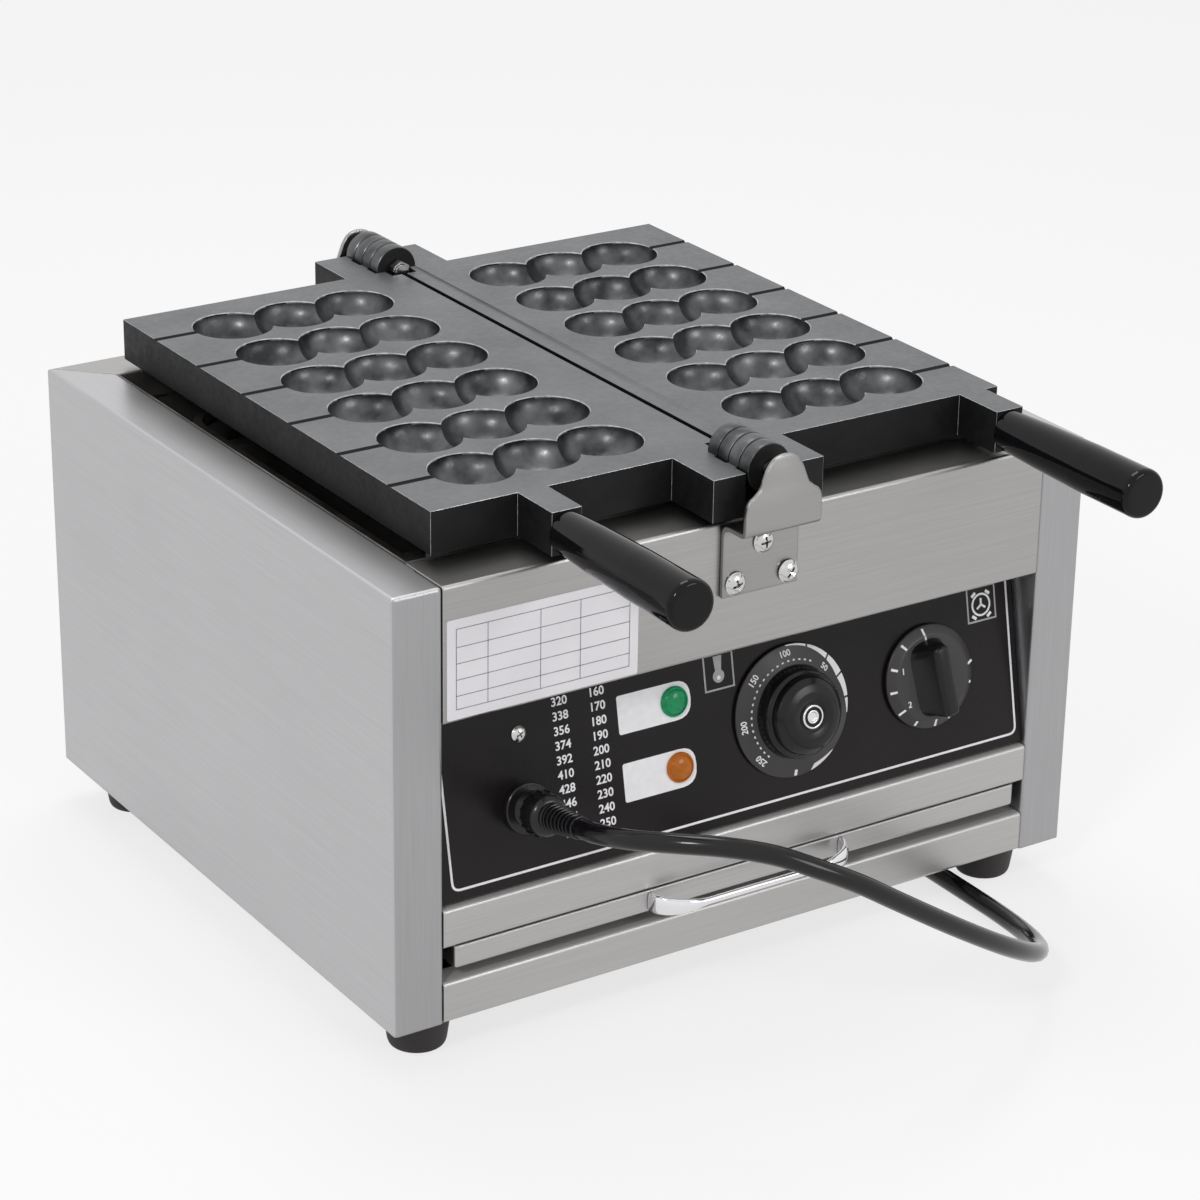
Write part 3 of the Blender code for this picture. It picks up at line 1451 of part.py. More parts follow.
def plug(coil):
    """A moulded two-pin plug on the coil's tail, lying with its axis along X."""
    end = coil[-1] - Vector((SEAM, 0, 0))
    radius = end.z - PLUG_FLOOR_GAP
    total = PLUG_NECK + PLUG_BODY
    profile = (
        (0, total),
        (radius * 0.80, total),
        (radius, total - radius * 0.2),
        (radius, PLUG_NECK + PLUG_BODY / 2),
        (PLUG_WAIST_RADIUS, PLUG_NECK),
        (PLUG_NECK_RADIUS, PLUG_NECK * 0.9),
        (RELIEF_TIP_RADIUS, 0),
        (0, 0),
    )
    along = Matrix.Translation(end) @ Matrix.Rotation(math.radians(-90), 4, "Y")
    body = turned("plug_body", profile, 16, BLACK_PLASTIC)
    body.matrix_world = along
    bm = bmesh.new()
    for side in (-1, 1):
        y = side * PLUG_PIN_SPACING / 2
        start, tip = (0, y, total - OVERRUN), (0, y, total + PLUG_PIN_LENGTH)
        add_cylinder(bm, start, tip, PLUG_PIN_RADIUS, 12)
    pins = from_bmesh("plug_pins", bm)
    pins.matrix_world = along
    combine(body, pins, "UNION")


def centre_the_machine():
    """Moves the whole machine along Y, so that the middle of its footprint is the origin."""
    for obj in bpy.data.objects:
        if obj.parent is None:
            obj.matrix_world = Matrix.Translation((0, CENTRE_SHIFT, 0)) @ obj.matrix_world


def build():
    side_panel("side_panel_left", -1)
    side_panel("side_panel_right", 1)
    back_panel()
    base_plate()
    fascia_and_rails()
    feet()
    frame = controls()
    moulds()
    for end_name, end, reach in (("front", -1, BRACKET_FRONT_REACH), ("rear", 1, BRACKET_REAR_REACH)):
        hinge_bracket("hinge_bracket_" + end_name, end, reach)
        bracket_bolts("bracket_bolt_" + end_name, end)
        hinge_pin(end_name, end, reach)
    heat_chamber()
    heat_shield()
    heater("heater_left", -1)
    heater("heater_right", 1)
    heater_bars()
    plate_rests()
    terminal_block()
    slide = empty("crumb_tray_slide", (0, -HALF_DEPTH, level(TRAY_LEVEL)))
    bpy.context.view_layer.update()
    crumb_tray(slide)
    tray_handle(slide)
    tray_runners()
    coil = power_cord(frame)
    cord_tie()
    plug(coil)
    bpy.context.view_layer.update()
    centre_the_machine()
    smooth_shade()


build()
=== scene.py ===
"""Looks of the stick waffle maker: each piece is finished in the order in which the machine is put together."""

import math

import bmesh
import bpy
from mathutils import Matrix, Vector


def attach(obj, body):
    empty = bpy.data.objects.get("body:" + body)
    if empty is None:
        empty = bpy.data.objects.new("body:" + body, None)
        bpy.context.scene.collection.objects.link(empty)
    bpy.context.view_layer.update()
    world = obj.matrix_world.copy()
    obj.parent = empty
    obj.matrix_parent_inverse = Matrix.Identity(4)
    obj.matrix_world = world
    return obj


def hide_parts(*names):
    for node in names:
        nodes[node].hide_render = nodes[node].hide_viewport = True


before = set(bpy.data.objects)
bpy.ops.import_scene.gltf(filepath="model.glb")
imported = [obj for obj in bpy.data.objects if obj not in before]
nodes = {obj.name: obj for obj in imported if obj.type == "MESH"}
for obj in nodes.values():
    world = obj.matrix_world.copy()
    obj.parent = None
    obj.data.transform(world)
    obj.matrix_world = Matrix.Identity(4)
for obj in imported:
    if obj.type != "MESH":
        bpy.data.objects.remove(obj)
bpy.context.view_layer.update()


# The studio: the camera stands where the photographer stood, in front of the left corner.
# Three soft lamps light the machine, and the table and the air round it are white.
CAMERA_PLACE = (-0.97095, -1.48125, 0.91165)
CAMERA_TURN = (66.8436, -0.7986, -32.9810)
CAMERA_LENS = 110.254
FILM_WIDTH = 36.0
LAMPS = (
    ("key_lamp", (-1.7, -1.2, 1.7), 0.4, 15.0),
    ("front_lamp", (0.9, -2.0, 0.9), 0.7, 7.5),
    ("top_lamp", (0.2, 0.7, 2.1), 0.9, 12.0),
)
LAMPS_LOOK_AT = Vector((0, 0, 0.12))
ROOM_LIGHT = 0.55
TABLE_SIZE = 40.0
TABLE_GLOW = 0.72

scene = bpy.context.scene
scene.view_settings.view_transform = "Standard"


def placed(name, data):
    """A new object in the scene."""
    obj = bpy.data.objects.new(name, data)
    scene.collection.objects.link(obj)
    return obj


def mesh_from(bm, name="shape"):
    """The mesh of a finished shape, which is used up."""
    mesh = bpy.data.meshes.new(name)
    bm.to_mesh(mesh)
    bm.free()
    return mesh


def feed(tree, value, socket):
    """Sets a value on a socket, or links it where it is another node's output."""
    if isinstance(value, bpy.types.NodeSocket):
        tree.links.new(value, socket)
    else:
        socket.default_value = value


def node(tree, kind, values, **settings):
    """A new node with these settings, whose inputs are fed with these values."""
    made = tree.nodes.new(kind)
    for name, value in settings.items():
        setattr(made, name, value)
    for name, value in values.items():
        feed(tree, value, made.inputs[name])
    return made


def seen_directly(tree):
    """1 on rays from the camera and in reflections, 0 on rays that gather light."""
    path = node(tree, "ShaderNodeLightPath", {}).outputs
    total = path["Is Camera Ray"]
    for ray in ("Is Glossy Ray", "Is Transmission Ray"):
        total = node(tree, "ShaderNodeMath", {0: total, 1: path[ray]}, operation="MAXIMUM").outputs[0]
    return total


camera = placed("camera", bpy.data.cameras.new("camera"))
camera.data.lens = CAMERA_LENS
camera.data.sensor_width = FILM_WIDTH
camera.data.sensor_fit = "HORIZONTAL"
camera.location = CAMERA_PLACE
camera.rotation_euler = [math.radians(turn) for turn in CAMERA_TURN]
scene.camera = camera

for name, place, size, power in LAMPS:
    lamp = placed(name, bpy.data.lights.new(name, "AREA"))
    lamp.data.size = size
    lamp.data.energy = power
    lamp.location = place
    lamp.rotation_euler = (LAMPS_LOOK_AT - Vector(place)).to_track_quat("-Z", "Y").to_euler()

room = bpy.data.worlds.new("white_room")
room.use_nodes = True
scene.world = room
tree = room.node_tree
air = tree.nodes["Background"]
air.inputs["Color"].default_value = (1, 1, 1, 1)
strength = node(tree, "ShaderNodeMapRange", {"Value": seen_directly(tree), "To Min": ROOM_LIGHT, "To Max": 1.0})
feed(tree, strength.outputs["Result"], air.inputs["Strength"])

table_white = bpy.data.materials.new("table_white")
table_white.use_nodes = True
tree = table_white.node_tree
paint = tree.nodes["Principled BSDF"]
paint.inputs["Base Color"].default_value = (0.9, 0.9, 0.9, 1)
paint.inputs["Roughness"].default_value = 0.9
paint.inputs["Specular IOR Level"].default_value = 0.0
glow = node(tree, "ShaderNodeEmission", {})
share = node(tree, "ShaderNodeMath", {0: seen_directly(tree), 1: TABLE_GLOW}, operation="MULTIPLY")
blend = node(tree, "ShaderNodeMixShader", {0: share.outputs[0], 1: paint.outputs[0], 2: glow.outputs[0]})
feed(tree, blend.outputs[0], tree.nodes["Material Output"].inputs["Surface"])
bm = bmesh.new()
bmesh.ops.create_grid(bm, x_segments=1, y_segments=1, size=TABLE_SIZE)
table = placed("table", mesh_from(bm, "table"))
table.data.materials.append(table_white)


# The mains lead: 10 mm black rubber cable. It leaves the gland, drops to the table in front of the machine,
# runs back under the case between the feet, and the rest of its two metres lies coiled behind the case.
CORD_RADIUS = 0.0050
CASE_SHIFT = Vector((0, 0.0394, 0))
SEAM = 0.0003
PANEL_FOOT = Vector((0, -0.1401, 0.0858))
PANEL_UP = Vector((0, 0.194356, 0.980931))
PANEL_OUT = Vector((0, -0.980931, 0.194356))
GLAND_AT = (-0.12570, 0.03690)
RELIEF_END = 0.0500
CORD_ROUTE = (
    (-0.1208, -0.2540, 0.1385), (-0.1086, -0.2738, 0.1419), (-0.0912, -0.2897, 0.1422),
    (-0.0712, -0.3014, 0.1379), (-0.0509, -0.3092, 0.1286), (-0.0305, -0.3132, 0.1174),
    (-0.0108, -0.3148, 0.1045), (0.0089, -0.3150, 0.0914), (0.0286, -0.3140, 0.0784),
    (0.0483, -0.3113, 0.0656), (0.0677, -0.3062, 0.0531), (0.0865, -0.2981, 0.0412),
    (0.1040, -0.2867, 0.0302), (0.1194, -0.2716, 0.0206), (0.1319, -0.2531, 0.0130),
    (0.1406, -0.2317, 0.0078), (0.1445, -0.2086, 0.0057),
)
ROUTE_PIECES = 5
CORD_LANE = 0.1450
CORD_LANE_START = -0.1850
CORD_LANE_END = 0.1825
LANE_POINTS = 6
CORD_LIE = 0.0055
COIL_RADIUS = 0.0660
COIL_PITCH = 0.0106
COIL_LAYER_TURNS = 1.625
COIL_CLIMB_TURNS = 0.5
COIL_POINTS = 48
COIL_LIE = 0.0070
COIL_BEHIND = 0.0110
COIL_TAIL = 0.0600
TAIL_POINTS = 6
NOISE_LOW, NOISE_HIGH = 0.3, 0.7
RAMP_ENDS = (0.32, 0.68)


def moved(x, y, z):
    return Matrix.Translation((x, y, z))


def turned(degrees, axis="Z"):
    return Matrix.Rotation(math.radians(degrees), 4, axis)


def on_panel(at, height=0.0):
    """A place on the slanted panel: across, up the slant, and out of it."""
    return PANEL_FOOT + Vector((at[0], 0, 0)) + PANEL_UP * at[1] + PANEL_OUT * height


def panel_frame(at=(0, 0), height=0.0):
    """The matrix that puts a flat drawing, or a turned piece, on the panel at this place."""
    axes = Matrix((Vector((1, 0, 0)), PANEL_UP, PANEL_OUT)).transposed().to_4x4()
    return Matrix.Translation(on_panel(at, height)) @ axes


def smooth_curve(route, pieces):
    """Points on a smooth curve from the second to the last but one of the route's points."""
    fine = []
    for a, b, c, d in zip(route, route[1:], route[2:], route[3:]):
        for piece_number in range(pieces):
            t = piece_number / pieces
            square = (a * 2 - b * 5 + c * 4 - d) * t**2
            cube = (b * 3 - a - c * 3 + d) * t**3
            fine.append((b * 2 + (c - a) * t + square + cube) / 2)
    return fine + [route[-2]]


def cord_path():
    """The lead's middle line: the free drop, the lane under the case, two layers of coil, and the tail."""
    start = on_panel(GLAND_AT, RELIEF_END + SEAM)
    middle = Vector((CORD_LANE - COIL_RADIUS, CORD_LANE_END + COIL_BEHIND + COIL_RADIUS + CORD_RADIUS, 0))
    coil_start = Vector((CORD_LANE, middle.y - CORD_RADIUS * 2, COIL_LIE))
    route = [start, start + PANEL_OUT * CORD_RADIUS * 2]
    route += [Vector(point) + CASE_SHIFT for point in CORD_ROUTE]
    for i in range(LANE_POINTS):
        y = CORD_LANE_START + (coil_start.y - CORD_LANE_START) * i / LANE_POINTS
        route.append(Vector((CORD_LANE, y, CORD_LIE)) + CASE_SHIFT)
    route += [coil_start - Vector((0, CORD_RADIUS * 2, 0)) + CASE_SHIFT, coil_start + CASE_SHIFT]
    fine = [route[0]] + smooth_curve(route, ROUTE_PIECES) + [route[-1]]
    turns = COIL_LAYER_TURNS * 2
    count = round(turns * COIL_POINTS)
    for i in range(count + 1):
        wound = turns * i / count
        past_layer = wound - COIL_LAYER_TURNS
        radius = COIL_RADIUS - COIL_PITCH * (COIL_LAYER_TURNS - abs(past_layer))
        climb = min(max(past_layer / COIL_CLIMB_TURNS + 0.5, 0), 1)
        angle = wound * math.tau
        flat = Vector((math.cos(angle), math.sin(angle), 0)) * radius
        fine.append(middle + CASE_SHIFT + flat + Vector((0, 0, COIL_LIE + COIL_PITCH * climb)))
    coil_end = fine[-1]
    tail_end = coil_end - Vector((COIL_TAIL, 0, 0))
    return fine + [coil_end.lerp(tail_end, i / TAIL_POINTS) for i in range(1, TAIL_POINTS + 1)]


def object_noise(tree, scale, detail, stretch=(1, 1, 1)):
    """A noise in the piece's own space, drawn out along the directions with a small stretch."""
    place = node(tree, "ShaderNodeTexCoord", {}).outputs["Object"]
    mapping = node(tree, "ShaderNodeMapping", {"Vector": place, "Scale": stretch})
    values = {"Vector": mapping.outputs["Vector"], "Scale": scale, "Detail": detail}
    return node(tree, "ShaderNodeTexNoise", values).outputs["Fac"]


def spread(tree, value, low, high, socket):
    """Lays a noise between two values on a shader's socket."""
    values = {"Value": value, "From Min": NOISE_LOW, "From Max": NOISE_HIGH, "To Min": low, "To Max": high}
    feed(tree, node(tree, "ShaderNodeMapRange", values).outputs["Result"], socket)


def shades(tree, value, dark, light, shader):
    """Lays a noise between two colours on the shader's colour."""
    ramp = node(tree, "ShaderNodeValToRGB", {"Fac": value})
    for element, position, colour in zip(ramp.color_ramp.elements, RAMP_ENDS, (dark, light)):
        element.position = position
        element.color = (*colour, 1)
    feed(tree, ramp.outputs["Color"], shader.inputs["Base Color"])


def relief(tree, value, depth, strength, shader):
    """Lays a noise on the surface as fine relief of this depth."""
    bump = node(tree, "ShaderNodeBump", {"Height": value, "Distance": depth, "Strength": strength})
    feed(tree, bump.outputs["Normal"], shader.inputs["Normal"])
    return bump


def finish(name, colour, roughness, metallic=0.0, shade=None, gloss=None, grain=None, shine=0.5):
    """A finish. Each of shade, gloss and grain is a noise's scale and detail, followed by two colours,
    by two roughnesses, or by a depth and its strength. Shine is how much of the room it mirrors."""
    made = bpy.data.materials.new(name)
    made.use_nodes = True
    tree = made.node_tree
    shader = tree.nodes["Principled BSDF"]
    shader.inputs["Base Color"].default_value = (*colour, 1)
    shader.inputs["Roughness"].default_value = roughness
    shader.inputs["Metallic"].default_value = metallic
    shader.inputs["Specular IOR Level"].default_value = shine
    if shade:
        shades(tree, object_noise(tree, *shade[:2]), *shade[2:], shader)
    if gloss:
        spread(tree, object_noise(tree, *gloss[:2]), *gloss[2:], shader.inputs["Roughness"])
    if grain:
        relief(tree, object_noise(tree, *grain[:2]), *grain[2:], shader)
    return made


def moulded(name, dark, light, roughness, grain=900, depth=0.00003, shine=0.25):
    """Moulded plastic or rubber: a fine grain, with slight changes of gloss where hands and cloths pass."""
    gloss = (38, 5, roughness * 0.85, roughness * 1.2)
    return finish(name, dark, roughness, 0.0, (14, 4, dark, light), gloss, (grain, 2, depth, 0.5), shine)


def give(material, *names):
    """Gives these carried-over solids their finish."""
    for name in names:
        for slot in nodes[name].material_slots:
            slot.material = material


cord_rubber = moulded("cord_rubber", (0.005, 0.004, 0.005), (0.009, 0.008, 0.010), 0.14, 700, 0.00002, 0.35)
path = cord_path()
flex = bpy.data.curves.new("mains_lead", "CURVE")
flex.dimensions = "3D"
flex.bevel_depth = CORD_RADIUS
flex.bevel_resolution = 4
flex.use_fill_caps = True
flex.materials.append(cord_rubber)
spline = flex.splines.new("POLY")
spline.points.add(len(path) - 1)
for point, place in zip(spline.points, path):
    point.co = (*place, 1)
lead = placed("mains_lead", flex)
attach(lead, "case")
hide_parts("power_cord", "cord_coil")
give(moulded("tie_strap", (0.010, 0.010, 0.011), (0.022, 0.022, 0.023), 0.5, 500), "cord_tie")


# The plug: a two-pin plug moulded on the end of the lead in black plastic, with round nickel-plated pins.
# It lies behind the machine beside the coil.
PLUG_FLOOR_GAP = 0.0006
PLUG_NECK = 0.0260
PLUG_BODY = 0.0380
PLUG_PIN = 0.0190
PLUG_PIN_RADIUS = 0.0023
PLUG_PIN_SPACING = 0.0190
PLUG_PIN_ROOT = -0.001
NECK_RINGS = 5


def rounded(before, corner, after, radius, pieces):
    """Points on the curve that takes the place of a corner."""
    corner = Vector(corner)
    inwards, onwards = Vector(before) - corner, Vector(after) - corner
    near = corner + inwards * min(radius / inwards.length, 0.49)
    far = corner + onwards * min(radius / onwards.length, 0.49)
    shares = [piece_number / pieces for piece_number in range(pieces + 1)]
    return [near.lerp(corner, t).lerp(corner.lerp(far, t), t) for t in shares]


def softened(points, radius, pieces=4):
    """A profile with each of its inner corners rounded by up to this radius."""
    soft = [Vector(points[0])]
    for before, corner, after in zip(points, points[1:], points[2:]):
        soft += rounded(before, corner, after, radius, pieces)
    return soft + [Vector(points[-1])]


def lathe(bm, profile, steps, place=Matrix(), slot=0):
    """Turns a profile of (radius, height), outer end first, about the place's own Z."""
    rings = []
    for radius, height in profile:
        angles = [math.tau * i / steps for i in range(steps if radius > 0 else 1)]
        ring = [Vector((radius * math.cos(angle), radius * math.sin(angle), height)) for angle in angles]
        rings.append([bm.verts.new(place @ spot) for spot in ring])
    for upper, lower in zip(rings, rings[1:]):
        for i in range(steps):
            j = (i + 1) % steps
            corners = (upper[i % len(upper)], lower[i % len(lower)], lower[j % len(lower)], upper[j % len(upper)])
            corners = list(dict.fromkeys(corners))
            if len(corners) > 2:
                bm.faces.new(corners).material_index = slot


def piece(name, shape, finishes, body, slot, *replaced, sharp=32):
    """A finished piece from its shape or mesh: it rides on a body and stands for these solids."""
    mesh = mesh_from(shape, name) if isinstance(shape, bmesh.types.BMesh) else shape
    indices = [polygon.material_index for polygon in mesh.polygons]
    mesh.materials.clear()
    for material in finishes:
        mesh.materials.append(material)
    mesh.polygons.foreach_set("material_index", indices)
    mesh.shade_smooth()
    mesh.set_sharp_from_angle(angle=math.radians(sharp))
    obj = placed(name, mesh)
    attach(obj, body)
    if replaced:
        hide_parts(*replaced)
    return obj


plated_pin = finish("plated_pin", (0.62, 0.60, 0.56), 0.22, 1.0, gloss=(300, 4, 0.16, 0.34))
plug_black = moulded("plug_black", (0.010, 0.010, 0.011), (0.018, 0.018, 0.019), 0.42, 600)
plug_end = path[-1] - Vector((SEAM, 0, 0))
plug_radius = plug_end.z - PLUG_FLOOR_GAP
plug_length = PLUG_NECK + PLUG_BODY
along_plug = Matrix.Translation(plug_end) @ turned(-90, "Y")
neck = [(0.0075, PLUG_NECK * 0.9)]
for i in range(NECK_RINGS):
    height = PLUG_NECK * (0.78 - 0.16 * i)
    wide, narrow = 0.0072 - 0.0002 * i, 0.0064 - 0.0002 * i
    neck += [(wide, height + 0.0012), (narrow, height), (narrow, height - 0.0012)]
plug_profile = [(0, plug_length), (plug_radius * 0.8, plug_length), (plug_radius, plug_length - 0.004),
                (plug_radius, PLUG_NECK + PLUG_BODY / 2), (0.0115, PLUG_NECK), *neck, (0.0057, 0), (0, 0)]
pin_profile = [(0, PLUG_PIN), (PLUG_PIN_RADIUS, PLUG_PIN), (PLUG_PIN_RADIUS, PLUG_PIN_ROOT), (0, PLUG_PIN_ROOT)]
bm = bmesh.new()
lathe(bm, softened(plug_profile, 0.0008, 3), 40, along_plug)
for side in (-1, 1):
    pin_place = along_plug @ moved(0, side * PLUG_PIN_SPACING / 2, plug_length)
    lathe(bm, softened(pin_profile, 0.0016), 20, pin_place, 1)
plug = piece("mains_plug", bm, [plug_black, plated_pin], "case", "black_plastic", "plug_body")


# The case: side panels, back, fascia, rails and base, folded from 1.2 mm stainless sheet with a brushed face.
# The brushing runs along each sheet, and the front faces of the columns are brushed upright.
# The one sheet is given lighter colours on the side panels and rails and darker ones on the fascia, back, base and
# brackets: painted light and shade.
SHEET_BEND = 0.0012
# How much darker the column fronts are painted: painted shade.
FRONT_PAINTED_SHADE = 0.78
# Painted light: the rails' upward faces are made almost non-metal, so that they show lighter.
FLANGE_METAL_FOR_PAINTED_LIGHT = 0.1
BRUSH_SCALE = 16
BRUSH = {"x": (1.2, 130, 130), "y": (130, 1.2, 130), "z": (130, 130, 1.2)}
FACING = 0.7


def faces_that_look(tree, axis, way):
    """1 on the faces that look along this axis of the piece's own space, 0 elsewhere."""
    normal = node(tree, "ShaderNodeTexCoord", {}).outputs["Normal"]
    part = node(tree, "ShaderNodeSeparateXYZ", {"Vector": normal}).outputs[axis]
    test = "GREATER_THAN" if way > 0 else "LESS_THAN"
    return node(tree, "ShaderNodeMath", {0: part, 1: way}, operation=test).outputs[0]


def one_or_other(tree, choice, first, second):
    return node(tree, "ShaderNodeMix", {"Factor": choice, "A": first, "B": second}).outputs["Result"]


def with_painted_shade(tree, tone, shader):
    """Darkens or lightens the colour by a painted shade that changes over the piece."""
    colour = shader.inputs["Base Color"].links[0].from_socket
    scaled = node(tree, "ShaderNodeVectorMath", {0: colour, "Scale": tone}, operation="SCALE")
    feed(tree, scaled.outputs[0], shader.inputs["Base Color"])


def brushed(name, dark, light, roughness, along):
    """Brushed sheet: fine lines along the sheet, with its sharp bends rounded in the shading; on sheets brushed along y
    the column fronts get a painted shade.
    """
    made = finish(name, light, roughness, 1.0, gloss=(7, 4, roughness * 0.9, roughness * 1.15))
    tree = made.node_tree
    shader = tree.nodes["Principled BSDF"]
    lines = object_noise(tree, BRUSH_SCALE, 2, BRUSH[along])
    if along == "y":
        on_front = faces_that_look(tree, "Y", -FACING)
        lines = one_or_other(tree, on_front, lines, object_noise(tree, BRUSH_SCALE, 2, BRUSH["z"]))
    shades(tree, lines, dark, light, shader)
    # Painted shade: the fronts of the columns are made darker than their sides.
    if along == "y":
        with_painted_shade(tree, one_or_other(tree, on_front, 1.0, FRONT_PAINTED_SHADE), shader)
    bump = relief(tree, lines, 0.00001, 0.2, shader)
    bend = node(tree, "ShaderNodeBevel", {"Radius": SHEET_BEND}, samples=6)
    feed(tree, bend.outputs["Normal"], bump.inputs["Normal"])
    return made


# Painted light and shade: copies of the same steel, lighter on the side panels and rails, darker on the fascia, back
# and base.
side_steel_painted_light = brushed("side_steel_painted_light", (0.475, 0.475, 0.485), (0.515, 0.515, 0.525), 0.34, "y")
front_steel_painted_shade = brushed("front_steel_painted_shade", (0.375, 0.370, 0.360), (0.415, 0.407, 0.398), 0.32, "x")
rail_steel_painted_light = brushed("rail_steel_painted_light", (0.450, 0.442, 0.432), (0.490, 0.482, 0.472), 0.34, "x")
# Painted light: the upward faces of the rails and tray are made almost non-metal, so that they show lighter than bare
# steel.
tree = rail_steel_painted_light.node_tree
metal = one_or_other(tree, faces_that_look(tree, "Z", FACING), 1.0, FLANGE_METAL_FOR_PAINTED_LIGHT)
feed(tree, metal, tree.nodes["Principled BSDF"].inputs["Metallic"])
give(side_steel_painted_light, "side_panel_left", "side_panel_right")
give(front_steel_painted_shade, "back_panel", "front_fascia", "base_plate")
give(rail_steel_painted_light, "upper_rail", "bottom_rail", "crumb_tray")


# The inside: the heat chamber's walls, the heat shield, rests, bars and runners are plain aluminised sheet
# that the heat has dulled. The two tubular heaters are darker, with a dry oxide skin.
scorched = finish("scorched_sheet", (0.20, 0.19, 0.18), 0.5, 0.85,
                  (16, 6, (0.10, 0.095, 0.09), (0.24, 0.23, 0.22)), (60, 5, 0.42, 0.62), (420, 3, 0.00004, 0.5))
oxide = finish("heater_oxide", (0.05, 0.045, 0.04), 0.6, 0.3,
               (45, 6, (0.030, 0.027, 0.025), (0.085, 0.075, 0.065)), None, (900, 3, 0.00005, 0.6))
give(scorched, "heat_chamber", "heat_shield", "heater_bar_front", "heater_bar_rear", "plate_rest_front",
     "plate_rest_rear", "tray_runner_left", "tray_runner_right")
give(oxide, "heater_left", "heater_right")
give(moulded("ivory_thermoset", (0.50, 0.47, 0.40), (0.60, 0.57, 0.49), 0.5, 300),
     "thermostat_body", "timer_body", "terminal_block")


# The feet: four tapered feet of dull black rubber. Each is pushed into a hole in the base with a stem
# of its own, and stands on a narrow ring round a hollow.
FOOT_PLACES = {
    "foot_front_left": (-0.1767, -0.1151), "foot_front_right": (0.1767, -0.1151),
    "foot_rear_left": (-0.1767, 0.1939), "foot_rear_right": (0.1767, 0.1939),
}
FOOT_TOP = 0.0227
STEM_TOP = FOOT_TOP + 0.006
FOOT_PROFILE = ((0, STEM_TOP), (0.0038, STEM_TOP), (0.0038, FOOT_TOP), (0.0184, FOOT_TOP), (0.0184, 0.0195),
                (0.0172, 0.0188), (0.0148, 0.0022), (0.0138, 0), (0.0090, 0), (0.0086, 0.0012), (0, 0.0012))
foot_rubber = moulded("foot_rubber", (0.028, 0.025, 0.025), (0.050, 0.045, 0.044), 0.62, 420, 0.00008)
for name, (x, y) in FOOT_PLACES.items():
    bm = bmesh.new()
    lathe(bm, softened(FOOT_PROFILE, 0.0012), 48, moved(x, y, 0))
    piece(name.replace("foot", "rubber_foot"), bm, [foot_rubber], "case", "rubber", name)


# The control panel: black enamelled sheet with a gloss, printed in white. The tabs beside the lamps are bare,
# plain numbers stand in the two scales, and a thermometer and a clock show which knob is which.
PANEL_INK = 0.00012
INK_LIFT = 0.00003
FRAME_LINE = ((-0.1708, 0.0046), (0.1745, 0.0930))
FRAME_LINE_WIDTH = 0.0012
SCALE_TOP = 0.0920
SCALE_PITCH = 0.0074
SCALE_ROWS = 11
SCALE_FIGURE = 0.0062
SCALES = ((-0.1014, 302, 18), (-0.0801, 150, 10))
TABS = ((-0.0690, -0.0261, 0.0598, 0.0796), (-0.0690, -0.0261, 0.0252, 0.0450))
TAB_CORNERS = (0.0014, 0.0090, 0.0090, 0.0014)
PICTURE_FRAMES = ((-0.0172, 0.0008), (0.1480, 0.1667))
PICTURE_LOW = 0.0695
PICTURE_HIGH = 0.0884
BULB_AT = (-0.0084, 0.0766)
BULB_DROP_AT = (-0.0084, 0.0758)
THERMOMETER_TUBE = ((-0.0100, 0.0780), (-0.0068, 0.0780), (-0.0058, 0.0870), (-0.0110, 0.0870))
CLOCK_AT = (0.1572, 0.0784)
CLOCK_HANDS = (90, 215, 325)
CLOCK_MARKS = ((52, 0.0066), (128, 0.0066), (232, 0.0070), (308, 0.0070))

enamel = finish("panel_enamel", (0.009, 0.007, 0.008), 0.25, 0.0,
                (9, 4, (0.007, 0.006, 0.007), (0.012, 0.009, 0.010)), (24, 5, 0.20, 0.32), (260, 2, 0.00002, 0.3), 0.2)
give(enamel, "control_panel")
ink = finish("white_ink", (0.80, 0.79, 0.80), 0.4, 0.0,
             (220, 2, (0.80, 0.79, 0.82), (0.86, 0.85, 0.87)), None, (1500, 2, 0.00001, 0.3))
grey_ink = finish("grey_ink", (0.38, 0.37, 0.38), 0.45, 0.0, (160, 3, (0.33, 0.32, 0.33), (0.45, 0.44, 0.45)))


def rectangle(low, high):
    return [(low[0], low[1]), (high[0], low[1]), (high[0], high[1]), (low[0], high[1])]


def rounded_rectangle(low, high, radii, pieces=5):
    """A rectangle whose corners are each rounded by a radius of their own."""
    corners = rectangle(low, high)
    outline = []
    for i, radius in enumerate(radii):
        outline += rounded(corners[i - 1], corners[i], corners[(i + 1) % 4], radius, pieces)
    return outline


def disc(radius, centre=(0, 0), steps=24):
    return [(centre[0] + radius * math.cos(math.tau * i / steps),
             centre[1] + radius * math.sin(math.tau * i / steps)) for i in range(steps)]


def belt(bm, near, far, slot=0):
    """A closed belt of faces between two loops of points."""
    for i in range(len(near)):
        j = (i + 1) % len(near)
        bm.faces.new((near[i], near[j], far[j], far[i])).material_index = slot


def loop_of(bm, outline, height, place=Matrix()):
    return [bm.verts.new(place @ Vector((x, y, height))) for x, y in outline]


def slab(bm, outline, low, high, place=Matrix(), slot=0):
    """A flat outline with a thickness."""
    top, bottom = loop_of(bm, outline, high, place), loop_of(bm, outline, low, place)
    bm.faces.new(top).material_index = slot
    bm.faces.new(bottom[::-1]).material_index = slot
    belt(bm, bottom, top, slot)


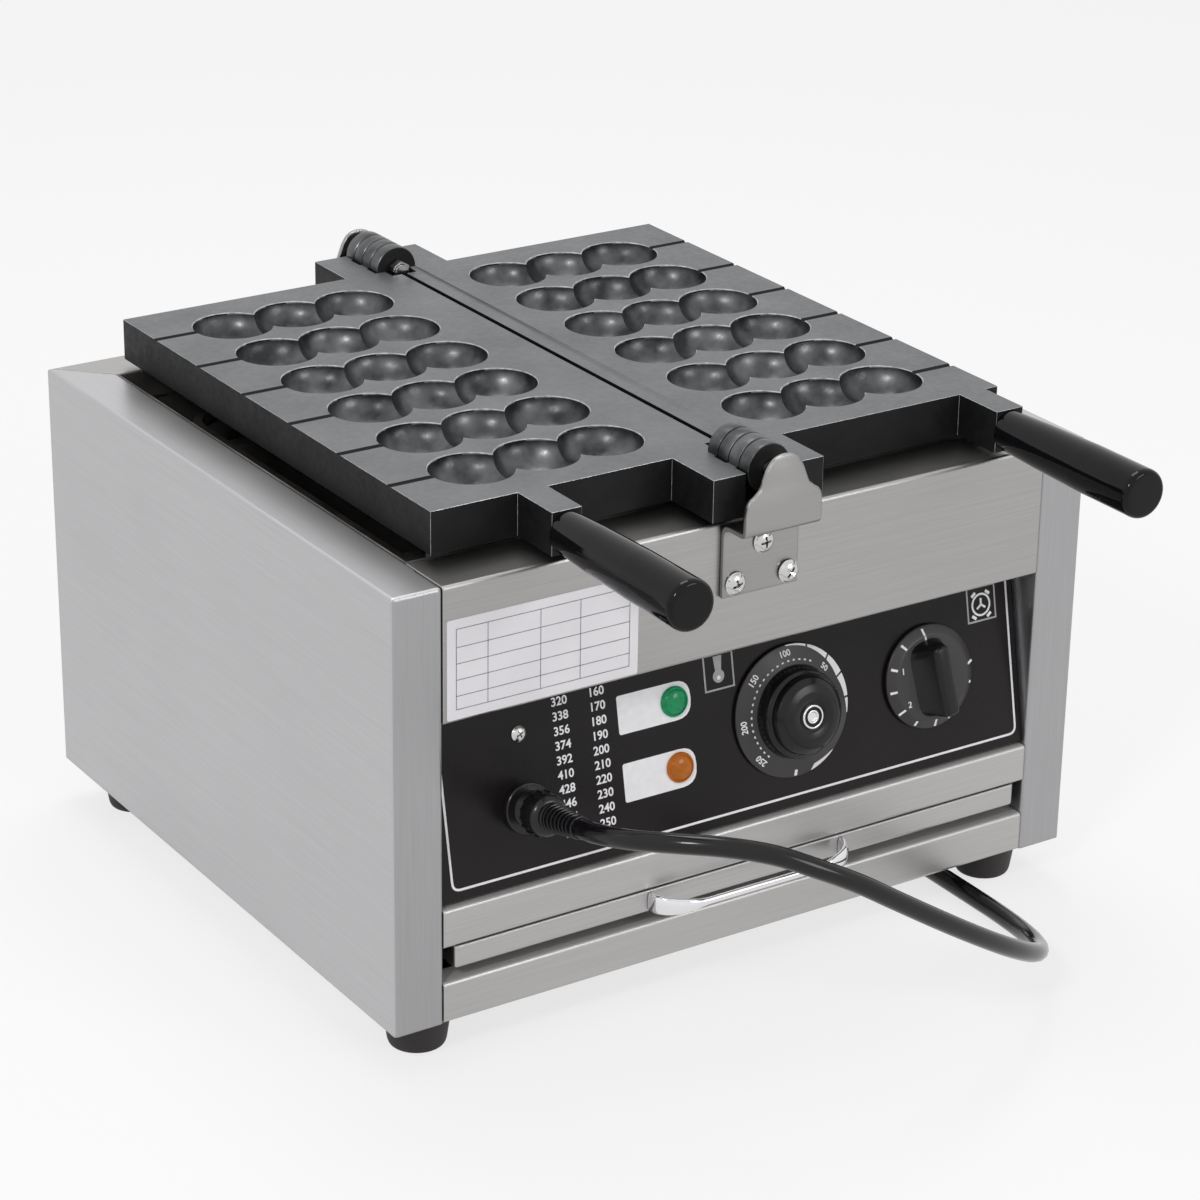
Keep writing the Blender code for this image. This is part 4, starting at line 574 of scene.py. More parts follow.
def line_loop(bm, outline, width, low, high, place=Matrix(), slot=0):
    """A line of this width that follows a closed outline on its inner side."""
    count = len(outline)
    inner = []
    for i in range(count):
        corner = Vector(outline[i])
        before = (corner - Vector(outline[i - 1])).normalized()
        after = (Vector(outline[(i + 1) % count]) - corner).normalized()
        normal = Vector((-before.y - after.y, before.x + after.x))
        inner.append(corner + normal / max(normal.length_squared / 2, 0.2) * width)
    sides = ((outline, high), (inner, high), (inner, low), (outline, low))
    loops = [loop_of(bm, points, height, place) for points, height in sides]
    for near, far in zip(loops, loops[1:] + loops[:1]):
        belt(bm, near, far, slot)


def add_mesh(bm, mesh, place=Matrix(), slot=0):
    mesh.transform(place)
    first = len(bm.faces)
    bm.from_mesh(mesh)
    bm.faces.ensure_lookup_table()
    for face in bm.faces[first:]:
        face.material_index = slot


def evaluated_mesh(obj):
    """The mesh of an object after its modifiers; the object is used up."""
    mesh = bpy.data.meshes.new_from_object(obj.evaluated_get(bpy.context.evaluated_depsgraph_get()))
    bpy.data.objects.remove(obj, do_unlink=True)
    return mesh


def add_figures(bm, text, size, place, slot=0):
    """Plain figures in raised ink."""
    data = bpy.data.curves.new("figures", "FONT")
    data.body = text
    data.size = size
    data.align_x = "CENTER"
    data.align_y = "CENTER"
    data.extrude = PANEL_INK / 2
    data.offset = size * 0.018
    data.resolution_u = 3
    add_mesh(bm, evaluated_mesh(placed("figures", data)), place, slot)


prints = bmesh.new()
on_face = panel_frame()
frame_outline = rounded_rectangle(*FRAME_LINE, [0.0050] * 4)
line_loop(prints, frame_outline, FRAME_LINE_WIDTH, INK_LIFT, PANEL_INK, on_face)
for x, first, step in SCALES:
    for row in range(SCALE_ROWS):
        place = panel_frame((x, SCALE_TOP - row * SCALE_PITCH), PANEL_INK / 2 + INK_LIFT)
        add_figures(prints, str(first + step * row), SCALE_FIGURE, place)
for left, right, low, high in TABS:
    slab(prints, rounded_rectangle((left, low), (right, high), TAB_CORNERS), INK_LIFT, PANEL_INK, on_face)
for left, right in PICTURE_FRAMES:
    outline = rectangle((left, PICTURE_LOW), (right, PICTURE_HIGH))
    line_loop(prints, outline, 0.0009, INK_LIFT, PANEL_INK, on_face, 1)
slab(prints, disc(0.0034, BULB_AT), INK_LIFT, PANEL_INK * 0.7, on_face, 1)
slab(prints, THERMOMETER_TUBE, INK_LIFT, PANEL_INK * 0.6, on_face, 1)
slab(prints, disc(0.0011, BULB_DROP_AT, 12), PANEL_INK * 0.7, PANEL_INK, on_face)
clock = on_face @ moved(*CLOCK_AT, 0)
line_loop(prints, disc(0.0062), 0.0011, INK_LIFT, PANEL_INK, clock)
for angle in CLOCK_HANDS:
    slab(prints, rectangle((0, -0.0006), (0.0034, 0.0006)), INK_LIFT, PANEL_INK, clock @ turned(angle))
for angle, reach in CLOCK_MARKS:
    outline = rectangle((reach, -0.0016), (reach + 0.0016, 0.0016))
    slab(prints, outline, INK_LIFT, PANEL_INK, clock @ turned(angle))
piece("panel_prints", prints, [ink, grey_ink], "case", "panel_black")


# The lamps: a green and an amber lens of clear ribbed plastic. Each is one piece with its barrel
# and is pressed into the panel from the front.
LENS_RADIUS = 0.0078
LENS_HEIGHT = 0.0036
LENS_DOME = 0.0064
LENS_RIM = 0.0014
BARREL = 0.0050
BARREL_END = -0.0180
LENSES = {"green": ((-0.0360, 0.0698), (0.004, 0.24, 0.090)), "amber": ((-0.0360, 0.0359), (0.42, 0.115, 0.003))}

lens_profile = [(0, LENS_HEIGHT)]
for i in range(1, 9):
    angle = math.pi / 2 * i / 9
    lens_profile.append((LENS_DOME * math.sin(angle), LENS_RIM + (LENS_HEIGHT - LENS_RIM) * math.cos(angle)))
lens_profile += [(0.0066, 0.0016), (0.0068, 0.0020), (0.0073, 0.0018), (LENS_RADIUS, 0.0011), (LENS_RADIUS, SEAM),
                 (BARREL, SEAM), (BARREL, BARREL_END), (0, BARREL_END)]
for name, (at, colour) in LENSES.items():
    deep = tuple(value * 0.75 for value in colour)
    lens = finish(name + "_lens", colour, 0.12, 0.0, (170, 2, deep, colour), None, (480, 1, 0.00008, 0.4), 0.3)
    shader = lens.node_tree.nodes["Principled BSDF"]
    # Painted light: a faint glow in the lens's own colour stands in for light passing through the clear plastic.
    shader.inputs["Emission Color"].default_value = (*colour, 1)
    shader.inputs["Emission Strength"].default_value = 0.12
    bm = bmesh.new()
    lathe(bm, lens_profile, 40, panel_frame(at))
    piece("lens_" + name, bm, [lens], "case", name + "_lens", "lamp_" + name)


# The panel screw: a bright pan-head screw with a cross recess, driven through the panel's left end.
# The hinge brackets' bolts, further on, have the same head in a larger size.
PANEL_SCREW_AT = (GLAND_AT[0], 0.0739)
HEAD_ANGLE = math.radians(70)
bright_steel = finish("bright_steel", (0.60, 0.60, 0.59), 0.2, 1.0, None,
                      (260, 4, 0.14, 0.30), (700, 2, 0.00001, 0.3))


def loft(bm, outlines, place=Matrix()):
    """Skins a stack of outlines, each given with its height from the bottom up, and closes both ends."""
    rings = [loop_of(bm, outline, height, place) for height, outline in outlines]
    for lower, upper in zip(rings, rings[1:]):
        belt(bm, lower, upper)
    bm.faces.new(rings[0][::-1])
    bm.faces.new(rings[-1])


def solid(bm):
    """The mesh of a closed shape, with all its faces turned outwards."""
    bmesh.ops.recalc_face_normals(bm, faces=bm.faces)
    return mesh_from(bm)


def carved(mesh, tool, operation="DIFFERENCE", soft_edge=0.0):
    """The mesh after one cut with a tool's mesh."""
    obj, cutter = placed("blank", mesh), placed("tool", tool)
    cut = obj.modifiers.new("cut", "BOOLEAN")
    cut.operation = operation
    cut.solver = "EXACT"
    cut.object = cutter
    if soft_edge:
        bevel = obj.modifiers.new("soft_edge", "BEVEL")
        bevel.width = soft_edge
        bevel.segments = 2
        bevel.limit_method = "ANGLE"
        bevel.angle_limit = math.radians(40)
    result = evaluated_mesh(obj)
    bpy.data.objects.remove(cutter, do_unlink=True)
    return result


def cross_head(radius, height, shank, length, place, turn=0.4):
    """The mesh of a domed screw with a cross sunk in its head."""
    dome = [(0, height)]
    for i in range(1, 8):
        angle = math.radians(10 * i)
        rise = (math.cos(angle) - math.cos(HEAD_ANGLE)) / (1 - math.cos(HEAD_ANGLE))
        dome.append((radius * 0.94 * math.sin(angle) / math.sin(HEAD_ANGLE), height * (0.35 + 0.65 * rise)))
    sides = [(radius, height * 0.28), (radius, SEAM), (shank, SEAM), (shank, -length), (0, -length)]
    bm = bmesh.new()
    lathe(bm, dome + softened(sides, radius * 0.06, 2), 36, place)
    arm, half = radius * 0.60, radius * 0.115
    plus = [(half, half), (half, arm), (-half, arm), (-half, half), (-arm, half), (-arm, -half),
            (-half, -half), (-half, -arm), (half, -arm), (half, -half), (arm, -half), (arm, half)]
    small = [(x * 0.45, y * 0.45) for x, y in plus]
    tool = bmesh.new()
    loft(tool, [(height * 0.25, small), (height * 1.1, plus)], place @ Matrix.Rotation(turn, 4, "Z"))
    return carved(solid(bm), solid(tool))


screw = cross_head(0.0040, 0.0022, 0.0018, 0.0070, panel_frame(PANEL_SCREW_AT))
piece("panel_cross_screw", screw, [bright_steel], "case", "steel", "panel_screw")


# The temperature knob: a stepped knob moulded in black phenolic, with its scale in white round the skirt
# and a plain bright ring set in its top. It sits on the thermostat's shaft.
KNOB_AT = (0.0325, 0.04986)
KNOB_LOW = 0.0010
SKIRT_RADIUS = 0.0346
DIAL_EDGE = SKIRT_RADIUS - 0.0003
SKIRT_RIM = 0.0022
HUB_RADIUS = 0.0238
HUB_FOOT = 0.0054
BORE = 0.0034
BORE_TOP = 0.0120
KNOB_PROFILE = ((0, 0.0186), (0.0068, 0.0190), (0.0084, 0.0200), (0.0120, 0.0206), (0.0165, 0.0196),
                (0.0196, 0.0174), (0.0206, 0.0148), (0.0206, 0.0136), (0.0226, 0.0126), (0.0234, 0.0100),
                (HUB_RADIUS, HUB_FOOT), (DIAL_EDGE, SKIRT_RIM), (SKIRT_RADIUS, SKIRT_RIM - 0.0004),
                (SKIRT_RADIUS, KNOB_LOW), (BORE, KNOB_LOW), (BORE, BORE_TOP), (0, BORE_TOP))
RING_PROFILE = ((0, 0.0196), (0.0022, 0.0196), (0.0026, 0.0204), (0.0034, 0.0204), (0.0038, 0.0197),
                (0.0048, 0.0197), (0.0052, 0.0206), (0.0060, 0.0206), (0.0064, 0.0198), (0.0064, 0.0186), (0, 0.0186))
WEDGE = ((92, 71, 0.0004, 0.0012), (69, 46, 0.0013, 0.0028), (44, 24, 0.0029, 0.0042), (22, 1, 0.0042, 0.0024),
         (-1, -14, 0.0022, 0.0006))
DIAL_FIGURES = (("50", 43, 0.0275), ("100", 95, 0.0304), ("150", 138, 0.0304), ("200", 184, 0.0304),
                ("250", 224, 0.0304))
FIGURE_SIZE = 0.0046
DOTS = 23
DOT_PITCH = 7.4
DOT_START = 64
DOT_AT = 0.0264
DOT_RADIUS = 0.00075
knob_black = moulded("knob_black", (0.005, 0.004, 0.005), (0.009, 0.008, 0.009), 0.24, 1100, 0.00002, 0.3)
skirt_black = moulded("skirt_black", (0.020, 0.018, 0.019), (0.029, 0.026, 0.028), 0.40, 1100, 0.00002, 0.5)
ring_bright = finish("ring_bright", (0.72, 0.72, 0.73), 0.14, 1.0, gloss=(420, 4, 0.10, 0.24))


def cone(inner, top, outer, rim):
    """The height at a radius on a cone that falls from a top to a rim."""
    return lambda radius: top + (rim - top) * ((radius - inner) / (outer - inner))


def band(bm, start, end, inner, outer, height_of, place, slot, steps=12):
    """A printed band on a cone, whose inner and outer radius may change from start to end, in degrees."""
    rows = []
    for i in range(steps + 1):
        t = i / steps
        angle = math.radians(start + (end - start) * t)
        row = []
        for radius_at, lift in ((inner, INK_LIFT * 2), (outer, INK_LIFT * 2),
                                (outer, INK_LIFT - PANEL_INK), (inner, INK_LIFT - PANEL_INK)):
            radius = radius_at(t)
            flat = Vector((radius * math.cos(angle), radius * math.sin(angle), height_of(radius) + lift))
            row.append(bm.verts.new(place @ flat))
        rows.append(row)
    for near, far in zip(rows, rows[1:]):
        belt(bm, near, far, slot)
    bm.faces.new(rows[0]).material_index = slot
    bm.faces.new(rows[-1][::-1]).material_index = slot


def repaint(bm, place, slot, chosen):
    """Gives another finish to the faces that are chosen by their radius and height in the place's frame."""
    into = place.inverted()
    for face in bm.faces:
        spot = into @ face.calc_center_median()
        if chosen(spot.xy.length, spot.z):
            face.material_index = slot


def ring_tree():
    """Geometry Nodes: copies of a shape, each shifted by the same step and turned by the same angle."""
    tree = bpy.data.node_groups.new("set_round_a_ring", "GeometryNodeTree")
    for name, kind in (("Geometry", "Geometry"), ("Count", "Int"), ("Turn", "Float"), ("Step", "Vector"),
                       ("Finish", "Material")):
        tree.interface.new_socket(name, in_out="INPUT", socket_type="NodeSocket" + kind)
    tree.interface.new_socket("Geometry", in_out="OUTPUT", socket_type="NodeSocketGeometry")
    given = node(tree, "NodeGroupInput", {}).outputs
    line = node(tree, "GeometryNodeMeshLine", {"Count": given["Count"], "Offset": given["Step"]}, mode="OFFSET")
    index = node(tree, "GeometryNodeInputIndex", {}).outputs["Index"]
    angle = node(tree, "ShaderNodeMath", {0: index, 1: given["Turn"]}, operation="MULTIPLY")
    turn = node(tree, "ShaderNodeCombineXYZ", {"Z": angle.outputs[0]}).outputs["Vector"]
    copies = {"Points": line.outputs["Mesh"], "Instance": given["Geometry"], "Rotation": turn}
    spots = node(tree, "GeometryNodeInstanceOnPoints", copies)
    real = node(tree, "GeometryNodeRealizeInstances", {"Geometry": spots.outputs["Instances"]})
    values = {"Geometry": real.outputs["Geometry"], "Material": given["Finish"]}
    painted = node(tree, "GeometryNodeSetMaterial", values)
    node(tree, "NodeGroupOutput", {"Geometry": painted.outputs["Geometry"]})
    return tree


REPEAT = ring_tree()


def repeated(bm, count, finish_given, turn=0.0, step=(0, 0, 0)):
    """The mesh of a shape set out again and again, turned or shifted each time."""
    carrier = placed("one_of_many", mesh_from(bm))
    modifier = carrier.modifiers.new("repeat", "NODES")
    modifier.node_group = REPEAT
    names = {item.name: item.identifier for item in REPEAT.interface.items_tree}
    modifier[names["Count"]] = count
    modifier[names["Turn"]] = turn
    modifier[names["Step"]] = step
    modifier[names["Finish"]] = finish_given
    return evaluated_mesh(carrier)


skirt_height = cone(HUB_RADIUS, HUB_FOOT, SKIRT_RADIUS, SKIRT_RIM)
knob_place = panel_frame(KNOB_AT)
bm = bmesh.new()
lathe(bm, softened(KNOB_PROFILE, 0.0009), 72, knob_place)
repaint(bm, knob_place, 3, lambda radius, height: radius > HUB_RADIUS + 0.0001)
lathe(bm, softened(RING_PROFILE, 0.0003, 3), 40, knob_place, 1)
repaint(bm, knob_place, 0, lambda radius, height: 0.0034 < radius < 0.0052 or radius < 0.0012)
for start, end, first_width, last_width in WEDGE:
    band(bm, start, end, lambda t: DIAL_EDGE - first_width - (last_width - first_width) * t, lambda t: DIAL_EDGE,
         skirt_height, knob_place, 2)
band(bm, -76, -48, lambda t: DIAL_EDGE - 0.0030 * min(t * 6, 1, (1 - t) ** 0.6), lambda t: DIAL_EDGE,
     skirt_height, knob_place, 2)
band(bm, -94, -91, lambda t: 0.0306, lambda t: 0.0338, skirt_height, knob_place, 2, 2)
dot = bmesh.new()
lathe(dot, [(0, INK_LIFT), (DOT_RADIUS, INK_LIFT), (DOT_RADIUS, -PANEL_INK), (0, -PANEL_INK)], 8,
      moved(DOT_AT, 0, skirt_height(DOT_AT)))
add_mesh(bm, repeated(dot, DOTS, ink, math.radians(DOT_PITCH)), knob_place @ turned(DOT_START), 2)
lean = Matrix.Rotation(math.atan2(HUB_FOOT - SKIRT_RIM, SKIRT_RADIUS - HUB_RADIUS), 4, "Y")
for figure, angle, out in DIAL_FIGURES:
    place = knob_place @ turned(angle) @ moved(out, 0, skirt_height(out)) @ lean @ turned(-90)
    add_figures(bm, figure, FIGURE_SIZE, place, 2)
piece("temperature_dial", bm, [knob_black, ring_bright, ink, skirt_black], "temperature_control", "black_plastic",
      "temperature_knob")


# The timer knob: a disc with a raised wing across it to turn it by, in the same black phenolic,
# with white strokes for the minutes round its rim.
TIMER_AT = (0.1190, 0.04859)
TIMER_RADIUS = 0.0275
TIMER_FACE = 0.0225
TIMER_TOP = 0.0050
TIMER_RIM = 0.0025
TIMER_PROFILE = ((0, TIMER_TOP), (TIMER_FACE, TIMER_TOP), (TIMER_RADIUS, TIMER_RIM), (TIMER_RADIUS, KNOB_LOW),
                 (BORE, KNOB_LOW), (BORE, 0.0030), (0, 0.0030))
WING = ((0.0046, 0.0204, 0.0118, 0.0100), (0.0058, 0.0202, 0.0108, 0.0092), (0.0100, 0.0198, 0.0078, 0.0064),
        (0.0160, 0.0194, 0.0048, 0.0036), (0.0176, 0.0190, 0.0042, 0.0030), (0.0185, 0.0182, 0.0034, 0.0024),
        (0.0188, 0.0174, 0.0026, 0.0018))
WING_TURN = 8
STROKES = ((97, 0.0228, 0.0262), (130, 0.0228, 0.0262), (160, 0.0228, 0.0260), (188, 0.0228, 0.0262),
           (217, 0.0228, 0.0268), (243, 0.0240, 0.0266), (272, 0.0228, 0.0268), (293, 0.0254, 0.0268))
MINUTES = {"1": 160, "2": 217}
MINUTES_AT = 0.0192

timer_height = cone(TIMER_FACE, TIMER_TOP, TIMER_RADIUS, TIMER_RIM)
timer_place = panel_frame(TIMER_AT)
bm = bmesh.new()
lathe(bm, softened(TIMER_PROFILE, 0.0006), 72, timer_place)
wing = []
for height, half_length, half_width, corner in WING:
    low, high = (-half_width, -half_length), (half_width, half_length)
    wing.append((height, rounded_rectangle(low, high, [corner] * 4, 6)))
loft(bm, wing, timer_place @ turned(WING_TURN))
repaint(bm, timer_place, 2, lambda radius, height: radius > 0.0130 and height < TIMER_TOP + 0.0001)
for angle, inner_end, outer_end in STROKES:
    band(bm, angle - 1.5, angle + 1.5, lambda t: inner_end, lambda t: outer_end, timer_height, timer_place, 1, 2)
band(bm, 95, 98, lambda t: 0.0186, lambda t: 0.0223, lambda radius: TIMER_TOP, timer_place, 1, 2)
for figure, angle in MINUTES.items():
    place = timer_place @ turned(angle) @ moved(MINUTES_AT, 0, TIMER_TOP) @ turned(-angle)
    add_figures(bm, figure, FIGURE_SIZE, place, 1)
tick = timer_place @ moved(0.0246, 0.0022, timer_height(0.0246) - 0.0003) @ turned(29)
slab(bm, rectangle((-0.0022, -0.0006), (0.0022, 0.0006)), 0, 0.0006, tick, 1)
dot_height = timer_height(0.0262)
slab(bm, disc(0.0008, (0.0248, -0.0081), 12), dot_height - 0.0003, dot_height + 0.0002, timer_place, 1)
piece("timer_dial", bm, [knob_black, ink, skirt_black], "timer_control", "black_plastic", "timer_knob")
give(bright_steel, "thermostat_shaft", "timer_shaft")


# The cable gland: a flanged nylon body through the panel, with a ribbed dome nut screwed on its thread.
# The lead's own ribbed strain relief comes out of it.
THREADS = 5
NUT_RIBS = 16
RELIEF_RIBS = 8
gland_black = moulded("gland_black", (0.007, 0.007, 0.008), (0.012, 0.012, 0.013), 0.22, 700, 0.00003, 0.35)
gland_place = panel_frame(GLAND_AT)
thread = []
for i in range(THREADS):
    height = 0.0112 - 0.0014 * i
    thread += [(0.0095, height), (0.0088, height - 0.0007)]
body_profile = [(0, 0.0120), (0.0088, 0.0120), *thread, (0.0088, 0.0040), (0.0124, 0.0040), (0.0130, 0.0034),
                (0.0130, SEAM), (0.0085, SEAM), (0.0085, -0.0100), (0, -0.0100)]
bm = bmesh.new()
lathe(bm, softened(body_profile, 0.0002, 2), 48, gland_place)
piece("gland_thread", bm, [gland_black], "case", "black_plastic", "gland_body")
nut_profile = [(0, 0.0238), (0.0080, 0.0240), (0.0104, 0.0220), (0.0109, 0.0190), (0.0109, 0.0126),
               (0.0104, 0.0123), (0, 0.0123)]
bm = bmesh.new()
lathe(bm, softened(nut_profile, 0.0016, 5), 48, gland_place)
rib = bmesh.new()
slab(rib, rectangle((0.0104, -0.0006), (0.0114, 0.0006)), 0.0128, 0.0186)
add_mesh(bm, repeated(rib, NUT_RIBS, gland_black, math.tau / NUT_RIBS), gland_place)
piece("gland_dome", bm, [gland_black], "case", "black_plastic", "gland_nut")
ribs = []
for i in range(RELIEF_RIBS):
    t = i / RELIEF_RIBS
    radius, height = 0.0058 + 0.0018 * t, 0.0490 - 0.0240 * t
    ribs += [(radius, height), (radius, height - 0.0017), (radius - 0.0009, height - 0.0020),
             (radius - 0.0009, height - 0.0028)]
relief_profile = [(0, RELIEF_END), (0.0056, RELIEF_END), *ribs, (0.0072, 0.0243), (0, 0.0243)]
bm = bmesh.new()
lathe(bm, softened(relief_profile, 0.0003, 2), 36, gland_place)
piece("relief_ribs", bm, [cord_rubber], "case", "cord_black", "strain_relief")


# The rating plate: a thin white foil stuck on the fascia. It is left bare but for the printed rules
# that divide it into columns and rows.
FASCIA_FACE = -0.1431
PLATE_LOW = (-0.1757, 0.1836)
PLATE_HIGH = (-0.0692, 0.2346)
FOIL_THICK = 0.00025
RULE_INSET = 0.0048
RULE_HALF = 0.0002
RULES_ACROSS = (0.18, 0.48, 0.71)
RULES_UP = (0.17, 0.37, 0.57, 0.77)
foil = finish("rating_foil", (0.78, 0.76, 0.79), 0.45, 0.0,
              (26, 3, (0.75, 0.73, 0.76), (0.81, 0.79, 0.82)), None, (400, 2, 0.00001, 0.3))
rule_ink = finish("rule_ink", (0.20, 0.21, 0.27), 0.5, 0.0, (200, 3, (0.15, 0.16, 0.22), (0.28, 0.29, 0.35)))
on_fascia = moved(0, FASCIA_FACE, 0) @ turned(90, "X")
rule_heights = (FOIL_THICK + 0.00001, FOIL_THICK + 0.00007)
low = (PLATE_LOW[0] + RULE_INSET, PLATE_LOW[1] + RULE_INSET)
high = (PLATE_HIGH[0] - RULE_INSET, PLATE_HIGH[1] - RULE_INSET)
bm = bmesh.new()
slab(bm, rounded_rectangle(PLATE_LOW, PLATE_HIGH, [0.0012] * 4), INK_LIFT, FOIL_THICK, on_fascia)
line_loop(bm, rectangle(low, high), RULE_HALF * 2, *rule_heights, on_fascia, 1)
for share_across in RULES_ACROSS:
    x = low[0] + (high[0] - low[0]) * share_across
    slab(bm, rectangle((x - RULE_HALF, low[1]), (x + RULE_HALF, high[1])), *rule_heights, on_fascia, 1)
for share_up in RULES_UP:
    z = low[1] + (high[1] - low[1]) * share_up
    slab(bm, rectangle((low[0], z - RULE_HALF), (high[0], z + RULE_HALF)), *rule_heights, on_fascia, 1)
piece("rating_plate", bm, [foil, rule_ink], "case", "steel")


# The hinge brackets: bent from 2.5 mm stainless strip, each bolted to the case with three bolts.
# The tab rises in a bell shape, and the hinge pin is welded to its back.
BRACKET_FACES = {"front": (-1, -0.1459, 0.0181), "rear": (1, 0.2247, 0.0250)}
BRACKET_LOW = 0.2130
BRACKET_TOP = 0.2960
BRACKET_HALF = 0.024
SHELF_TOP = 0.2520
STRIP = 0.0025
BELL = ((0.02225, 0.2125), (0.02225, 0.2540), (0.0220, 0.2640), (0.0205, 0.2683), (0.0172, 0.2708),
        (0.0141, 0.2738), (0.0122, 0.2782), (0.0100, 0.2835), (0.0060, 0.2880), (0, 0.2895))
BOLTS = (("left", -0.0150, 0.2197, 0.3), ("right", 0.0165, 0.2197, 0.9), ("top", 0.0010, 0.2388, 0.1))
SIDE_VIEW = Matrix(((0, 0, 1, 0), (1, 0, 0, 0), (0, 1, 0, 0), (0, 0, 0, 1)))
# Painted shade: the brackets' steel is a darker copy of the case's brushed steel.
bracket_steel_painted_shade = brushed("bracket_steel_painted_shade", (0.335, 0.328, 0.320), (0.358, 0.350, 0.342), 0.30, "x")


def strip_shape(outline, thickness, half):
    """A strip bent to a side view of (y, z): its two faces run at a constant distance."""
    outer = softened(outline, 0.0046, 5)
    inner = []
    for i, point in enumerate(outer):
        run = (outer[min(i + 1, len(outer) - 1)] - outer[max(i - 1, 0)]).normalized()
        inner.append(point + Vector((-run.y, run.x)) * thickness)
    bm = bmesh.new()
    section = outer + inner[::-1]
    loft(bm, [(-half, section), (half, section)], SIDE_VIEW)
    return bm


def bell_outline():
    points = [Vector(point) for point in BELL]
    beyond = Vector((-points[-2].x, points[-2].y))
    right = [points[0]] + smooth_curve(points + [beyond], 6)
    return right + [Vector((-point.x, point.y)) for point in reversed(right[:-1])]


for end_name, (end, face, reach) in BRACKET_FACES.items():
    tab = face + end * reach
    side_view = [(face, BRACKET_LOW), (face, SHELF_TOP - STRIP), (tab, SHELF_TOP - STRIP), (tab, BRACKET_TOP)]
    strip = solid(strip_shape(side_view, STRIP * end, BRACKET_HALF))
    bell = bmesh.new()
    slab(bell, bell_outline(), -0.5, 0.5, turned(90, "X"))
    bracket = carved(strip, solid(bell), "INTERSECT", 0.0003)
    piece("bracket_" + end_name, bracket, [bracket_steel_painted_shade], "case", "steel", "hinge_bracket_" + end_name)
    for place_name, x, z, turn in BOLTS:
        bolt = cross_head(0.0060, 0.0034, 0.0024, 0.0080, moved(x, face, z) @ turned(-90 * end, "X"), turn)
        bolt_name = f"bolt_{end_name}_{place_name}"
        piece(bolt_name, bolt, [bright_steel], "case", "steel", "bracket_" + bolt_name)
give(bright_steel, "hinge_pin_front", "hinge_pin_rear", "pin_nut_front", "pin_nut_rear")


# The mould plates: two castings, machined flat on their faces and coated dark, 22 mm thick.
# Six rows of three joined balls are sunk in each, with a groove for the stick out to the edge,
# and knuckles at both ends take turns on the hinge pins.
PLATE_TOP = 0.2780
PLATE_DEEP = 0.0221
PLATE_FRONT = -0.1152
PLATE_BACK = 0.2054
PLATE_EDGES = {-1: PLATE_FRONT, 1: PLATE_BACK}
PLATE_OUTER = 0.1677
PLATE_INNER = 0.0015
LUG_OUTER = 0.0323
LUG_INNER = 0.0137
PIN_LEVEL = 0.27825
KNUCKLES = 4
KNUCKLE_WIDTH = 0.0082
KNUCKLE_GAP = 0.0006
KNUCKLE_RADIUS = 0.0125
KNUCKLE_BORE = 0.0043
NUT_ROOM = 0.0078
HANDLES = {"left": 0.1118, "right": 0.1515}
HANDLE_LUG = 0.0302
HANDLE_LUG_WIDTH = 0.0165
ROWS = 6
ROW_PITCH = 0.0488
ROW_MIDDLE = 0.0855
BALL_PITCH = 0.0368
BALL_RADIUS = 0.0213
BALL_DEEP = 0.0165
BALL_STEPS = 44
GROOVE = 0.0016
GROOVE_END = PLATE_OUTER + 0.004
RIM = 0.0005
GROOVE_FROM = ROW_MIDDLE + BALL_PITCH + BALL_RADIUS + 0.0010
HOLLOW_BORDER = 0.0150
HOLLOW_DEEP = 0.0020
CAST_EDGE = 0.0009

# Painted light and shade: the one dark coat is given a lighter copy on the flat faces and a near-black copy on the
# sides and grooves.
face_coat_painted_light = finish("face_coat_painted_light", (0.14, 0.145, 0.15), 0.46, 0.5, (22, 5, (0.118, 0.122, 0.128), (0.160, 0.165, 0.172)),
                   (300, 4, 0.38, 0.52), (1300, 3, 0.00004, 0.5))
side_coat_painted_shade = finish("side_coat_painted_shade", (0.007, 0.007, 0.007), 0.46, 0.0, (30, 5, (0.005, 0.005, 0.005), (0.011, 0.011, 0.012)),
                   (240, 4, 0.40, 0.56), (520, 4, 0.00010, 0.7), 0.2)
ball_coat = finish("ball_coat", (0.085, 0.087, 0.090), 0.34, 1.0, (70, 5, (0.038, 0.039, 0.041), (0.140, 0.144, 0.148)),
                   (420, 4, 0.28, 0.42), (900, 3, 0.00003, 0.5))
# Painted highlight: the rounded edges and cavity rims are given a light, shiny copy of the coat.
painted_highlight_edge = finish("painted_highlight_edge", (0.40, 0.405, 0.41), 0.32, 0.8, (260, 4, (0.26, 0.265, 0.27), (0.54, 0.545, 0.555)),
                   (500, 3, 0.26, 0.42))


def knuckle(number):
    """Where a knuckle begins and ends, outwards from the plate."""
    near = KNUCKLE_GAP * (number + 1) + KNUCKLE_WIDTH * number
    return near, near + KNUCKLE_WIDTH


def own_knuckles(side, end):
    """The knuckles of this plate, by number from the plate outwards; the others are the other plate's."""
    return range(0 if side == end else 1, KNUCKLES, 2)


def hinge_comb(side, end):
    edge = PLATE_EDGES[end]
    points = [(PLATE_INNER, edge)]
    if side != end:
        points.append((LUG_INNER, edge))
    for number in own_knuckles(side, end):
        near, far = (edge + end * distance for distance in knuckle(number))
        near, far = near + end * SEAM, far - end * SEAM
        points += [(LUG_INNER if number else PLATE_INNER, near), (0, near), (0, far), (LUG_INNER, far)]
    last = edge + end * KNUCKLES * (KNUCKLE_WIDTH + KNUCKLE_GAP)
    return points + [(LUG_INNER, last), (LUG_OUTER, last), (LUG_OUTER, edge)]


